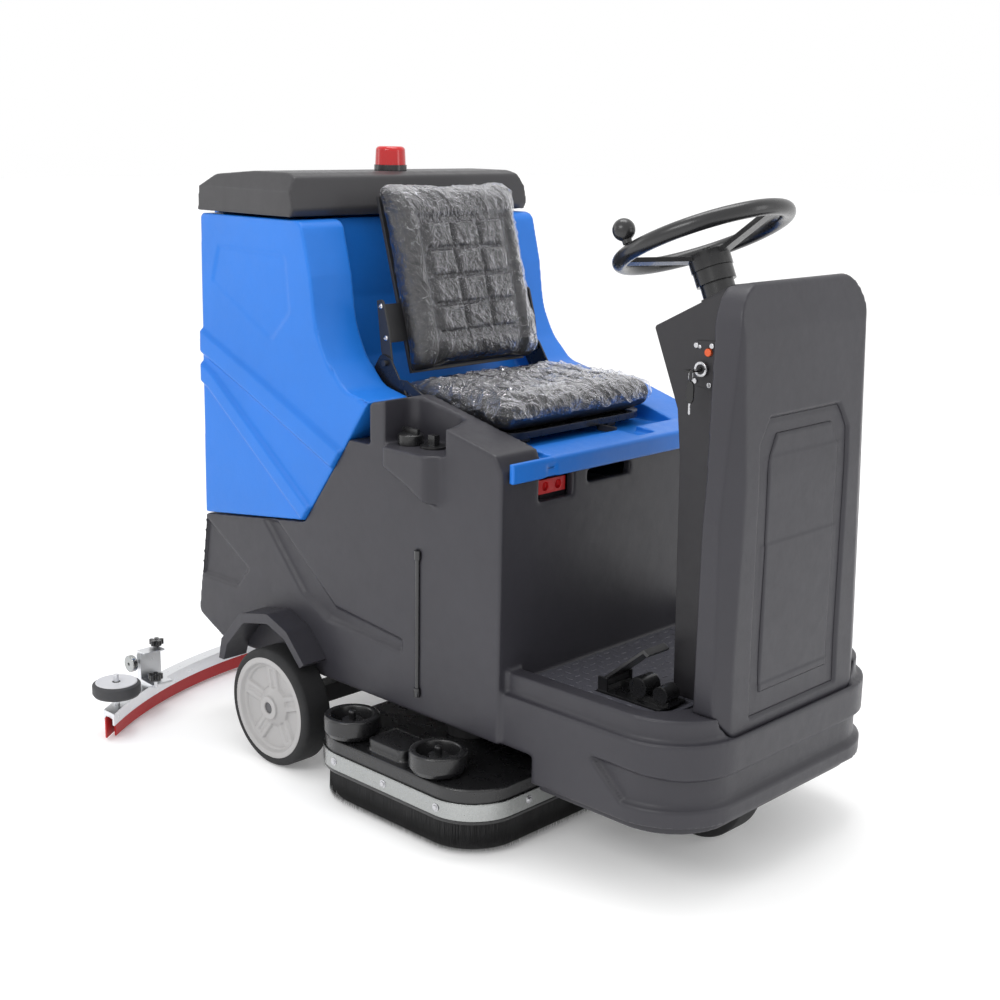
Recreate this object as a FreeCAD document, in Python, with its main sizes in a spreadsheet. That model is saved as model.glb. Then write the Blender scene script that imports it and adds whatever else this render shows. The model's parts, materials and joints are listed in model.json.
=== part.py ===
"""Ride-on floor scrubber: recovery tank, seat, steering, scrub deck and squeegee.

Millimetres.  +X is forward, +Y is the driver's left and +Z is up.  The origin is on the
floor, under the middle of the machine's box.
"""
import FreeCAD, Part
import math
import os
import re

Vector = FreeCAD.Vector
Rotation = FreeCAD.Rotation

# ---------------------------------------------------------------- driving dimensions

DIMENSIONS = {
    # whole machine
    "front_reach": 815, "rear_reach": 815, "gap": 0.4, "seam": 3,
    # moulded lower body
    "body_half_width": 345, "body_rear_reach": 565, "body_base": 208, "body_wall": 8,
    "cavity_top": 262, "deck_level": 738, "front_wall_reach": 370, "bay_floor": 418,
    "console_inner": 232, "console_top": 836, "tray_level": 746, "level_place": 146,
    "socket_offset": 193,
    # front platform
    "bumper_base": 130, "bumper_top": 350, "bumper_half_width": 338,
    "bumper_corner": 150, "floor_level": 322, "floor_half_width": 285, "plate_thickness": 3,
    # shroud and dash column
    "shroud_half_width": 226, "shroud_top": 1112, "shroud_base": 247, "shroud_rear": 740,
    "shroud_wall": 6, "column_half_width": 130, "column_rear": 618, "column_top": 1098,
    "column_rear_top": 1012, "shroud_lean": 18,
    # recovery tank and lid
    "tank_base": 494, "tank_top": 1166, "tank_wall": 8, "lid_base": 1171, "lid_top": 1250,
    "lid_front": 228, "lid_half_width": 348, "lid_wall": 6,
    "beacon_radius": 34, "beacon_height": 40, "beacon_place": 318,
    # rear wheels
    "rear_axle_place": 241, "tyre_radius": 130, "tyre_width": 70, "rim_radius": 112,
    "wheel_inner_face": 354, "axle_radius": 12.5,
    # drive wheel and steering
    "steer_axis": 655, "steer_trail": 43, "drive_radius": 115, "drive_width": 72,
    "spindle_radius": 20, "wheel_ring_radius": 160, "wheel_grip_radius": 15,
    "wheel_height": 1165, "wheel_place": 545, "steer_tilt": 23.7, "shaft_radius": 9,
    # seat
    "seat_width": 436, "seat_front": 270, "seat_length": 330, "cushion_base": 778,
    "cushion_height": 76, "back_width": 356, "back_height": 364, "back_thickness": 56,
    "back_lean": 16.4, "pivot_place": 81, "pivot_height": 880,
    # scrub deck
    "deck_rear": 85, "deck_front": 415, "deck_half_width": 455, "deck_corner": 105,
    "skirt_base": 4, "skirt_top": 78, "band_top": 112, "housing_top": 140,
    "brush_radius": 195, "brush_offset": 208, "brush_place": 165,
    "roller_radius": 57.5, "roller_height": 42, "roller_base": 145, "roller_offset": 405,
    # squeegee
    "blade_radius": 1030, "blade_setback": 28, "blade_half_width": 605,
    "blade_base": 5, "blade_height": 48,
    "channel_height": 22, "channel_width": 34, "guide_wheel_radius": 54,
    "arm_pivot_place": 455, "arm_pivot_height": 172,
}


document = FreeCAD.newDocument("ride_on_scrubber")
sheet = document.addObject("Spreadsheet::Sheet", "sizes")
for row, (alias, value) in enumerate(DIMENSIONS.items(), start=1):
    sheet.set("A%d" % row, alias)
    sheet.set("B%d" % row, str(value))
    sheet.setAlias("B%d" % row, alias)
document.recompute()


class Sizes:
    """The sheet's values, read by name, for outlines that are worked out in code."""

    def __getattr__(self, alias):
        return float(sheet.get(alias))


size = Sizes()


# ---------------------------------------------------------------- building blocks

AXES = {
    "x": Rotation(Vector(0, 1, 0), 90),
    "y": Rotation(Vector(1, 0, 0), -90),
    "z": Rotation(),
}
PLANES = {
    "xy": (Rotation(), Vector(0, 0, 1)),
    "xz": (Rotation(Vector(1, 0, 0), 90), Vector(0, 1, 0)),
    "yz": (Rotation(Vector(1, 1, 1), 120), Vector(1, 0, 0)),
}
NORMAL = {"xy": "z", "xz": "y", "yz": "x"}
parts = {}


def bind(piece, **properties):
    """Ties each property to a sum of the sheet's names."""
    for name, text in properties.items():
        words = r"[A-Za-z_][A-Za-z_0-9]*"
        named = re.sub(words, lambda word: "sizes." + word[0] if word[0] in DIMENSIONS else word[0],
                       str(text))
        piece.setExpression(name.replace("__", "."), named)
    return piece


def put(piece, at):
    """Ties the piece's place to the sheet."""
    bind(piece, Placement__Base__x=at[0], Placement__Base__y=at[1], Placement__Base__z=at[2])
    return piece


def new(kind, name):
    return document.addObject(kind, name)


def box(name, length, width, height, at):
    """A box from its lowest corner."""
    piece = bind(new("Part::Box", name), Length=length, Width=width, Height=height)
    return put(piece, at)


def rod(name, radius, length, at, axis="z", tilt=None):
    """A round bar from the centre of its first face."""
    piece = bind(new("Part::Cylinder", name), Radius=radius, Height=length)
    piece.Placement.Rotation = tilt or AXES[axis]
    return put(piece, at)


def ring(name, outer, inner, length, at, axis="z", tilt=None):
    """A round bar with a hole through it."""
    whole = rod(name + "_whole", outer, length, at, axis, tilt)
    hole = rod(name + "_hole", inner, length, at, axis, tilt)
    return cut(name, whole, hole)


def torus(name, radius, section, at, tilt):
    piece = bind(new("Part::Torus", name), Radius1=radius, Radius2=section)
    piece.Placement.Rotation = tilt
    return put(piece, at)


def cut(name, base, *tools):
    piece = new("Part::Cut", name)
    piece.Base = base
    piece.Tool = tools[0] if len(tools) == 1 else group(name + "_tools", *tools)
    return piece


def group(name, *pieces):
    """Joins pieces that touch, and keeps apart those that don't."""
    piece = new("Part::MultiFuse", name)
    piece.Shapes = list(pieces)
    return piece


def common(name, *pieces):
    piece = new("Part::MultiCommon", name)
    piece.Shapes = list(pieces)
    return piece


def mirrored(name, piece):
    """The same piece on the other side of the machine."""
    twin = new("Part::Mirroring", name)
    twin.Source = piece
    twin.Normal = Vector(0, 1, 0)
    return twin


def both_sides(name, piece):
    return group(name, piece, mirrored(name + "_twin", piece))


def corner_arc(before, corner, after, radius):
    """The start, middle and end of the arc that rounds a corner."""
    back = (before - corner).normalize()
    ahead = (after - corner).normalize()
    half = back.getAngle(ahead) / 2
    reach = radius / math.tan(half)
    middle = corner + (back + ahead).normalize() * (radius / math.sin(half) - radius)
    return corner + back * reach, middle, corner + ahead * reach


def outline(name, points):
    """A closed sketch of straight runs, where a third number rounds that corner."""
    sketch = new("Sketcher::SketchObject", name)
    corners = [Vector(point[0], point[1], 0) for point in points]
    count = len(points)
    starts, ends = [], []
    for index, point in enumerate(points):
        if len(point) == 3:
            start, middle, end = corner_arc(corners[index - 1], Vector(corners[index]),
                                            corners[(index + 1) % count], point[2])
            sketch.addGeometry(Part.ArcOfCircle(start, middle, end), False)
        else:
            start = end = corners[index]
        starts.append(start)
        ends.append(end)
    for index in range(count):
        following = starts[(index + 1) % count]
        if ends[index].distanceToPoint(following) > 1e-6:
            sketch.addGeometry(Part.LineSegment(ends[index], following), False)
    return sketch


def prism(name, plane, points, start, length):
    """An outline drawn out along the normal of its plane, from start."""
    rotation, normal = PLANES[plane]
    sketch = outline(name + "_outline", points)
    sketch.Placement.Rotation = rotation
    bind(sketch, **{"Placement__Base__" + NORMAL[plane]: start})
    piece = new("Part::Extrusion", name)
    piece.Base = sketch
    piece.Dir = normal
    piece.Solid = True
    return bind(piece, LengthFwd=length)


def turned(name, points, at, axis="z"):
    """A profile of radius and height points turned about an axis."""
    sketch = outline(name + "_outline", points)
    sketch.Placement.Rotation = PLANES["xz"][0]
    piece = new("Part::Revolution", name)
    piece.Source = sketch
    piece.Axis = Vector(0, 0, 1)
    piece.Angle = 360
    piece.Solid = True
    piece.Placement.Rotation = AXES[axis]
    return put(piece, at)


def inset(points, depth):
    """The outline moved inwards by a wall's thickness, with sharp corners."""
    corners = [Vector(point[0], point[1], 0) for point in points]
    area = sum(a.x * b.y - b.x * a.y for a, b in zip(corners, corners[1:] + corners[:1]))
    turn = 1 if area > 0 else -1
    moved = []
    for index, corner in enumerate(corners):
        into = (corner - corners[index - 1]).normalize()
        out = (corners[(index + 1) % len(corners)] - corner).normalize()
        first = Vector(-into.y, into.x, 0) * turn
        second = Vector(-out.y, out.x, 0) * turn
        shift = (first + second) * (depth / (1 + first.dot(second)))
        moved.append((corner.x + shift.x, corner.y + shift.y))
    return moved


def tilted(rotation, *offset):
    """An offset in a tilted piece's own axes, in the machine's axes."""
    return rotation.multVec(Vector(*offset))


def part(node, piece):
    """Names a finished sub-part."""
    piece.Label = node
    parts[node] = piece
    return piece


# ---------------------------------------------------------------- moulded lower body

def body_side():
    """The lower body's side, up to the seam under the tank and the seat deck."""
    rear = -size.body_rear_reach
    return [(rear + 55, size.body_base), (rear - 35, size.body_base + 42, 18),
            (rear + 3, size.tank_base - size.seam), (-208, size.tank_base + 47 - size.seam, 20),
            (-88, 699, 20), (-60, size.deck_level), (size.front_wall_reach, size.deck_level),
            (size.front_wall_reach, size.body_base)]


def bumper_plan(depth=0.0):
    """The front platform's plan, moved inwards by depth."""
    half = size.bumper_half_width - depth
    front = size.front_reach - depth
    return [(size.front_wall_reach - 40, -half), (front, -half, size.bumper_corner - depth),
            (front, half, size.bumper_corner - depth), (size.front_wall_reach - 40, half)]


def console():
    """The raised arm beside the seat, with its tray and outer pocket."""
    edge = size.body_half_width
    top = size.console_top
    arm = prism("console_arm", "xz",
                [(3, size.deck_level - 2), (3, top - 14, 8), (62, top, 12), (352, top - 66, 12),
                 (size.front_wall_reach, size.deck_level - 2)],
                "-body_half_width", "body_half_width - console_inner")
    tray = prism("console_tray", "xy", [(48, -edge - 5), (48, -268, 24), (190, -258, 30), (222, -edge - 5)],
                 "tray_level", "console_top")
    pocket = prism("console_pocket", "xy",
                   [(52, -edge + 9), (62, -edge - 20, 8), (185, -edge - 24, 16), (218, -edge + 9)],
                   "tray_level - 96", "96")
    slope = prism("console_pocket_slope", "xz", [(40, 640), (240, 640), (188, 652), (40, 716)],
                  "-body_half_width - 40", "45")
    return cut("console_arm_open", arm, tray), cut("console_pocket_open", pocket, slope)


def lower_body():
    side = prism("body_hull", "xz", body_side(), "-body_half_width", "2 * body_half_width")
    platform = prism("platform_middle", "xy", bumper_plan(), "bumper_base + 22",
                     "bumper_top - bumper_base - 62")
    lip = prism("platform_lip", "xy", bumper_plan(24), "bumper_base", "22")
    rail = prism("platform_rail", "xy", bumper_plan(16), "bumper_top - 40", "40")
    arm, pocket = console()
    knuckle = rod("deck_knuckle", 4.6, 30, ("front_wall_reach + 9", 210, "deck_level - 12"), "y")
    web = box("deck_knuckle_web", 11, 30, 9.2, ("front_wall_reach - 2", 210, "deck_level - 16.6"))
    knuckles = both_sides("deck_knuckles", group("deck_knuckle_set", knuckle, web))
    hull = group("body_whole", side, platform, lip, rail, arm, pocket, knuckles)

    footwell = prism("footwell", "xy",
                     [(size.front_wall_reach, -size.floor_half_width), (690, -size.floor_half_width, 60),
                      (760, -150), (760, 150), (690, size.floor_half_width, 60),
                      (size.front_wall_reach, size.floor_half_width)],
                     "floor_level", "100")
    underside = box("underside", "body_rear_reach + 430", "2 * (body_half_width - body_wall - 4)",
                    "cavity_top", ("-body_rear_reach + 8", "-body_half_width + body_wall + 4", 0))
    wells = box("deck_tunnel", 262, 580, "bay_floor - 12", (0, -290, 0))
    deck_room = box("deck_room", 132, 700, "body_base", (320, -350, 0))
    bay = box("battery_bay", "front_wall_reach - 50", "2 * (console_inner - 12)", "deck_level",
              ("30", "-console_inner + 12", "bay_floor"))
    motor_bay = box("vacuum_bay", 240, 460, 260, (-520, -230, "cavity_top + 12"))
    tank_well = box("water_space", 210, "2 * (body_half_width - body_wall)", "170",
                    (-262, "-body_half_width + body_wall", "cavity_top + body_wall"))
    front_well = prism("front_well", "xy", bumper_plan(34), 0, "floor_level - 12")
    notch = box("finger_notch", 24, 130, 26, ("front_wall_reach - 22", -102, "deck_level - 52"))
    socket = box("connector_recess", 30, 96, 50, ("front_wall_reach - 28", "-socket_offset - 48",
                                                  "deck_level - 70"))
    shroud_seat = shroud_shape("shroud_clearance", -1.5)
    spindle_hole = rod("spindle_hole", "spindle_radius + 6", 60, ("steer_axis", 0, "floor_level - 30"))
    slot = box("level_slot", 10, 12, 305, ("level_place - 5", "-body_half_width - 4", 243.5))
    ends = [rod("level_pocket_%d" % low, 7.4, 19, ("level_place", "-body_half_width - 1", low))
            for low in (243.5, 529.5)]
    pin_bore = rod("deck_pin_bore", 2.55, 600, ("front_wall_reach + 9", -300, "deck_level - 12"), "y")
    part("lower_body", cut("lower_body", hull, footwell, underside, wells, bay, motor_bay, tank_well,
                           front_well, notch, socket, shroud_seat, spindle_hole, slot, *ends, pin_bore,
                           deck_room))


# ---------------------------------------------------------------- shroud and dash column

def shroud_shape(name, depth):
    """The shroud's outer form moved inwards by depth, as the overlap of three outlines."""
    front = size.front_reach
    top = size.shroud_top
    base = size.shroud_base
    rear = size.shroud_rear + depth
    side = [(rear, 330 + depth), (front - 60, base + depth), (front - 10 - depth, base + depth),
            (front - 15 - depth, 420), (front - 18 - depth, 760), (front - 30 - depth, top - 82, 60),
            (front - 47 - depth, top - depth, 12), (rear - size.shroud_lean, top - 12 - depth),
            (rear - size.shroud_lean + 3, top - 82), (rear, 760)]
    half = size.shroud_half_width - depth
    face = [(-142, base + depth), (142, base + depth), (half + 4, 350), (half + 2, 700),
            (half - 34, top - depth, 78), (-half + 34, top - depth, 78), (-half - 2, 700), (-half - 4, 350)]
    ridge = size.shroud_rear + 49 - depth
    plan = [(rear - 6, -half - 4), (ridge, -half - 6), (front - depth, -half + 46), (front + 12 - depth, 0),
            (front - depth, half - 46), (ridge, half + 6), (rear - 6, half + 4)]
    leaning = prism(name + "_plan", "xy", plan, 200, 1000)
    leaning.Dir = Vector(-0.03, 0, 1)
    return common(name,
                  prism(name + "_side", "xz", side, -300, 600),
                  prism(name + "_face", "yz", face, "shroud_rear - 45", 220),
                  leaning)


def front_shroud():
    outer = shroud_shape("shroud_outer", 0)
    inner = shroud_shape("shroud_inner", size.shroud_wall)
    panel = prism("shroud_panel", "yz", [(-118, 335), (118, 335), (128, 870, 30), (-128, 870, 30)],
                  "front_reach - 29", 40)
    panel_floor = shroud_shape("shroud_panel_floor", 3)
    recess = cut("shroud_recess", panel, panel_floor)
    window = box("shroud_window", "shroud_wall + 6", "2 * column_half_width - 24",
                 "column_top - floor_level - 60",
                 ("shroud_rear - 3", "-column_half_width + 12", "floor_level + 20"))
    part("front_shroud", cut("front_shroud", outer, inner, recess, window))


def column_side():
    rear = size.column_rear
    front = size.shroud_rear - 1
    back = front - size.shroud_lean
    return [(rear + 4, size.floor_level + 0.5), (rear - 6, 780), (rear - 16, 868),
            (rear - 76, size.column_rear_top, 6),
            (back - 11, size.column_top), (back, size.column_top - 10), (back + 3, size.shroud_top - 82),
            (front, 760), (front, size.floor_level + 0.5)]


def dash_column():
    """A five-sided shell with no floor, open at the front where the shroud covers it."""
    outer = prism("column_outer", "xz", column_side(), "-column_half_width", "2 * column_half_width")
    inner_side = inset(column_side(), 5)
    for index in range(-5, 0):
        inner_side[index] = (column_side()[index][0] + 3, inner_side[index][1])
    inner_side[-1] = (inner_side[-1][0], size.floor_level - 2)
    inner_side[0] = (inner_side[0][0], size.floor_level - 2)
    inner_side[-5] = (inner_side[-4][0], inner_side[-4][1] + 4)
    inner = prism("column_inner", "xz", inner_side, "-column_half_width + 5", "2 * column_half_width - 10")
    shaft_hole = rod("column_shaft_hole", 24, 260, along_column(0), tilt=steering_tilt(180))
    button_room = rod("column_button_room", 7.3, 12, (668, "-column_half_width - 3", 978), "y")
    part("dash_column", cut("dash_column", outer, inner, shaft_hole, button_room))


def dash_plates():
    """The instrument panel on the sloped top, and the key plate on the right side."""
    rear = size.column_rear - 76
    run = size.shroud_rear - 12 - size.shroud_lean - rear
    slope = math.degrees(math.atan2(size.column_top - size.column_rear_top, run))
    tilt = Rotation(Vector(0, 1, 0), -slope)
    panel = new("Part::Box", "instrument_panel")
    bind(panel, Length=74, Width="2 * column_half_width - 24", Height=5)
    panel.Placement.Rotation = tilt
    start = Vector(rear, -size.column_half_width + 12, size.column_rear_top) + tilted(tilt, 106, 0, 0.5)
    put(panel, start)
    plate = prism("key_plate", "xz", [(640, 996), (683, 999), (679, 910), (630, 918)],
                  "-column_half_width - 2.4", 2)
    turn = Rotation(Vector(1, 0, 0), 90)
    barrel = ring("switch_barrel", 13, 4.3, 7, (655, "-column_half_width - 2.4", 947), tilt=turn)
    socket_hole = rod("key_hole", 4.3, 30, (655, "-column_half_width + 5", 947), tilt=turn)
    button_hole = rod("button_hole", 7.3, 30, (668, "-column_half_width + 5", 978), tilt=turn)
    plates = group("dash_plates_whole", panel, plate, barrel)
    part("dash_plates", cut("dash_plates", plates, socket_hole, button_hole))


def key_and_button():
    turn = Rotation(Vector(1, 0, 0), 90)
    stem = rod("key_stem", 4, 12, (655, "-column_half_width - 0.4", 947), tilt=turn)
    bow = box("key_bow", 20, 22, 2.5, (645, "-column_half_width - 44", 945.75))
    blade = box("key_blade", 7, 16, 2.5, (651.5, "-column_half_width - 24", 945.75))
    loop = rod("key_loop", 4, 8, (655, "-column_half_width - 36", 943))
    fob = cut("key_whole", group("key_solid", stem, blade, bow), loop)
    part("ignition_key", fob)
    cap = rod("button_cap", 7, 7, (668, "-column_half_width - 0.4", 978), tilt=turn)
    part("dash_button", cap)


# ---------------------------------------------------------------- recovery tank and lid

def tank_side():
    """The tank's side, with the concave sweep from the shoulder to the seat deck."""
    rear = -size.body_rear_reach
    return [(rear + 2, size.tank_base), (rear + 13, size.tank_top, 12), (-206, size.tank_top, 26),
            (-178, 1056), (-163, 948, 220), (-128, 888, 80), (-74, 836, 60), (-3, 821),
            (-88, 702), (-208, size.tank_base + 47)]


def recess_side(depth):
    """The hollow between the shoulders, where the seat back stands."""
    return [(-258 - depth, size.tank_top + 20), (-232 - depth, 1000), (-186 - depth, 880),
            (-120 - depth, 800), (-120 - depth, 660), (40, 660), (40, size.tank_top + 20)]


def tank_shape(name, depth):
    side = tank_side() if depth == 0 else inset(tank_side(), depth)
    body = prism(name + "_body", "xz", side, "-body_half_width + %s" % depth,
                 "2 * body_half_width - %s" % (2 * depth))
    recess = prism(name + "_recess", "xz", recess_side(depth), "-console_inner - %s" % depth,
                   "2 * (console_inner + %s)" % depth)
    return cut(name, body, recess)


def recovery_tank():
    outer = tank_shape("tank_outer", 0)
    inner = tank_shape("tank_inner", size.tank_wall)
    mouth = box("tank_mouth", "body_rear_reach - 304", 560, 60,
                ("-body_rear_reach + 38", -280, "tank_top - 30"))
    pane = prism("tank_pane", "xz", [(-489, 1100), (-258, 1094, 12), (-245, 979, 12), (-310, 914, 12),
                                     (-515, 1022)],
                 "-body_half_width - 1", 3)
    pins = rod("lid_pins", 5, 600, ("-body_rear_reach + 7", -300, "tank_top + 2"), "y")
    ears = [box("lid_ear_%d" % side, 20, 14, 16, ("-body_rear_reach + 1", side, "tank_top - 8"))
            for side in (-300, 286)]
    whole = group("tank_with_ears", cut("tank_shell", outer, inner, mouth), pins, *ears)
    part("recovery_tank", cut("recovery_tank", whole, pane, mirrored("tank_pane_twin", pane)))


def vacuum_motor():
    can = rod("motor_can", 85, 150, (-400, 0, "cavity_top + 12.4"))
    cap = rod("motor_cap", 60, 50, (-400, 0, "cavity_top + 162"))
    part("vacuum_motor", group("vacuum_motor", can, cap))


def lid_side(depth=0.0):
    """The lid's side: it rises from the hinge to a flat crown under the beacon."""
    rear = -size.body_rear_reach + 9
    crown = size.lid_top + 10 - depth
    return [(rear + depth, size.lid_base), (rear + 6 + depth, size.lid_top - 26 - depth, 4),
            (rear + 46, size.lid_top - depth, 20), (-size.beacon_place - 70, crown, 60),
            (-size.beacon_place + 50, crown, 40), (-size.lid_front - 14 - depth, size.lid_top + 2 - depth,
                                                   10),
            (-size.lid_front - depth, size.lid_base + 16), (-size.lid_front - 10 - depth, size.lid_base)]


def tank_lid():
    outer = prism("lid_outer", "xz", lid_side(), "-lid_half_width", "2 * lid_half_width")
    half = size.lid_half_width
    ends_face = [(-half, size.lid_base - 5), (-half, size.lid_top - 26), (-half + 24, size.lid_top + 12),
                 (half - 24, size.lid_top + 12), (half, size.lid_top - 26), (half, size.lid_base - 5)]
    ends = prism("lid_ends", "yz", ends_face, "-body_rear_reach - 20", "body_rear_reach")
    inner_side = lid_side(size.lid_wall)
    inner_side[0] = (inner_side[0][0], size.lid_base - 4)
    inner_side[-1] = (inner_side[-1][0], size.lid_base - 4)
    inner = prism("lid_inner", "xz", inner_side, "-lid_half_width + lid_wall + 20",
                  "2 * (lid_half_width - lid_wall - 20)")
    gutter = box("lid_gutter", "body_rear_reach - lid_front - 31", 19, 45,
                 ("-body_rear_reach + 19", "lid_half_width - lid_wall - 19", "lid_base - 1"))
    knuckle = both_sides("lid_knuckles", rod("lid_knuckle", 9, 40,
                                             ("-body_rear_reach + 7", 240, "tank_top + 2"), "y"))
    lid = group("lid_whole", cut("lid_shell", common("lid_form", outer, ends), inner,
                                 both_sides("lid_gutters", gutter)), knuckle)
    bore = rod("lid_bore", 5.05, 700, ("-body_rear_reach + 7", -350, "tank_top + 2"), "y")
    room = box("lid_ear_room", 28, 18, 24, ("-body_rear_reach - 3", 284, "tank_top - 9"))
    pin_room = box("lid_pin_room", 20, 60, 8, ("-body_rear_reach - 3", 281, "tank_top + 4"))
    part("tank_lid", cut("tank_lid", lid, bore, both_sides("lid_ear_rooms", room),
                         both_sides("lid_pin_rooms", pin_room)))


def beacon():
    at = "-beacon_place"
    base = rod("beacon_base", "beacon_radius + 2", 12, (at, 0, "lid_top + 10.3"))
    part("beacon_base", base)
    top = size.beacon_height
    lens = turned("beacon_lens", [(0, 0), (size.beacon_radius, 0), (size.beacon_radius - 2, top, 9),
                                  (0, top)],
                  (at, 0, "lid_top + 22.3"))
    part("beacon_lens", lens)


# ---------------------------------------------------------------- chassis and wheels

def chassis_frame():
    rail = box("frame_rail", "body_rear_reach + 500", 40, 44,
               ("-body_rear_reach + 35", 100, "cavity_top - 44"))
    rails = both_sides("frame_rails", rail)
    crossing = [box("frame_crossing_%d" % index, 40, 200, 30, (place, -100, "cavity_top - 36"))
                for index, place in enumerate((-475, -330, -130, 440))]
    outrigger = both_sides("frame_outriggers", box("frame_outrigger", 40, 230, 30,
                                                   (-261, 100, "cavity_top - 36")))
    beam = box("axle_beam", 40, 660, 40, ("-rear_axle_place - 20", -330, 110))
    hanger = both_sides("axle_hangers", box("axle_hanger", 60, 12, 100,
                                            ("-rear_axle_place - 30", 200, 130)))
    stub = both_sides("axle_stubs", rod("axle_stub", "axle_radius", 86, ("-rear_axle_place", 328, 130),
                                        "y"))
    ear = both_sides("arm_ears", box("arm_ear", 44, 10, 82, ("-arm_pivot_place - 22", 34, 146)))
    pin = rod("arm_pin", 8, 88, ("-arm_pivot_place", -44, "arm_pivot_height"), "y")
    part("chassis_frame", group("chassis_frame", rails, *crossing, outrigger, beam, hanger, stub, ear, pin))


def rear_wheel(side, name):
    """A cushion tyre on a moulded rim, with the rim's face outwards."""
    width = size.tyre_width
    start = side * size.wheel_inner_face
    turn = AXES["y"] if side > 0 else Rotation(Vector(1, 0, 0), 90)
    tyre = turned("rear_tyre_" + name,
                  [(size.rim_radius, 0), (size.tyre_radius, 0, 8), (size.tyre_radius, width, 12),
                   (size.rim_radius, width)],
                  ("-rear_axle_place", start, "tyre_radius"))
    tyre.Placement.Rotation = turn
    part("rear_tyre_" + name, tyre)
    bore = size.axle_radius + 0.05
    edge = size.rim_radius
    rim = turned("rear_rim_" + name,
                 [(bore, 6), (34, 6), (34, 26), (edge - 14, 26), (edge - 14, 4), (edge, 4), (edge, width),
                  (edge - 12, width + 1), (edge - 18, width - 10), (44, width - 16), (26, width - 5),
                  (26, width + 1),
                  (bore, width + 1)],
                 ("-rear_axle_place", start, "tyre_radius"))
    rim.Placement.Rotation = turn
    part("rear_rim_" + name, rim)


def rear_fenders():
    outer = [(-439, 190), (-428, 238), (-356, 314, 24), (-262, 334, 24), (-196, 310, 30), (-138, 250)]
    inner = [(-152, 240), (-204, 292, 20), (-262, 312, 20), (-346, 294, 20), (-408, 228), (-421, 190)]
    shell = prism("fender", "xz", outer + inner, "body_half_width + gap", 62)
    part("rear_fenders", both_sides("rear_fenders", shell))


# ---------------------------------------------------------------- steering

def steering_tilt(turn=0):
    """The steering axis leans its top towards the driver."""
    return Rotation(Vector(0, 1, 0), -size.steer_tilt + turn)


def along_column(distance):
    """A point on the steering axis, that far below the steering wheel's ring."""
    down = tilted(steering_tilt(), 0, 0, -distance)
    return (size.wheel_place + down.x, 0, size.wheel_height + down.z)


def steering():
    tilt = steering_tilt()
    centre = ("wheel_place", 0, "wheel_height")
    grip = torus("wheel_ring", "wheel_ring_radius", "wheel_grip_radius", centre, tilt)
    hub = rod("wheel_hub", 40, 32, along_column(60), tilt=tilt)
    spokes = []
    for index, angle in enumerate((0, 125, 235)):
        turn = tilt.multiply(Rotation(Vector(0, 0, 1), angle))
        lean = turn.multiply(Rotation(Vector(0, 1, 0), -13))
        start = Vector(*along_column(40)) + tilted(turn, 18, -14, -4)
        spoke = bind(new("Part::Box", "wheel_spoke_%d" % index), Length="wheel_ring_radius - 20", Width=28,
                     Height=9)
        spoke.Placement.Rotation = lean
        spokes.append(put(spoke, start))
    socket = rod("wheel_socket", "shaft_radius", 50, along_column(66), tilt=tilt)
    ring_solid = group("wheel_solid", grip, hub, *spokes)
    stud_hole = rod("stud_hole", 4.05, 24, knob_place(-9), tilt=tilt)
    part("steering_wheel", cut("steering_wheel", ring_solid, socket, stud_hole))
    shaft = rod("shaft_bar", "shaft_radius", 310, along_column(330), tilt=tilt)
    collar = rod("shaft_collar", 38, 27, along_column(87.4), tilt=tilt)
    boss = rod("shaft_boss", 32, 31, along_column(118), tilt=tilt)
    part("steering_shaft", group("steering_shaft", shaft, collar, boss))


def knob_place(height):
    """A point over the ring at the spinner knob, that far above the ring's middle."""
    angle = math.radians(250)
    reach = size.wheel_ring_radius
    offset = tilted(steering_tilt(), reach * math.cos(angle), reach * math.sin(angle), height)
    return (size.wheel_place + offset.x, offset.y, size.wheel_height + offset.z)


def spinner_knob():
    tilt = steering_tilt()
    stud = rod("knob_stud", 4, 26, knob_place(-8), tilt=tilt)
    neck = rod("knob_neck", 9, 14, knob_place(15.5), tilt=tilt)
    ball = bind(new("Part::Sphere", "knob_ball"), Radius=21)
    put(ball, knob_place(42))
    part("spinner_knob", group("spinner_knob", stud, neck, ball))


def steering_column():
    """The tube that carries the shaft, and the sealed gearbox over the fork."""
    tilt = steering_tilt()
    tube = ring("column_tube", 16, "shaft_radius + 0.05", 150, along_column(300), tilt=tilt)
    top = along_column(296)
    gearbox = box("gearbox", 76, 92, 90, (top[0] - 34, -46, top[2] - 90))
    shaft_room = rod("gearbox_room", "shaft_radius + 0.05", 60, along_column(340), tilt=tilt)
    spindle_room = rod("gearbox_spindle_room", "spindle_radius + 0.05", 60, ("steer_axis", 0, top[2] - 92))
    floor = size.floor_level
    pedestal = box("column_pedestal", 76, 92, 6, (top[0] - 34, -46, floor + 0.5))
    pedestal_hole = rod("pedestal_hole", "spindle_radius + 2", 12, ("steer_axis", 0, floor - 2))
    posts = both_sides("column_posts", box("column_post", 20, 6, top[2] - 90 - floor - 6,
                                           (top[0] - 10, 38, floor + 6)))
    whole = group("steering_column_whole", tube, gearbox, posts, pedestal)
    part("steering_column", cut("steering_column", whole, shaft_room, spindle_room, pedestal_hole))


def steer_fork():
    top = along_column(296)[2]
    spindle = rod("fork_spindle", "spindle_radius", top - 60 - 262, ("steer_axis", 0, 262))
    bridge = box("fork_bridge", 150, 124, 14, ("steer_axis - 105", -62, 250))
    leg = box("fork_leg", 60, 12, 170, ("steer_axis - steer_trail - 30", 50, 84))
    pin = rod("drive_axle", "axle_radius", 124, ("steer_axis - steer_trail", -62, "drive_radius"), "y")
    part("steer_fork", group("steer_fork", spindle, bridge, both_sides("fork_legs", leg), pin))


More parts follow.
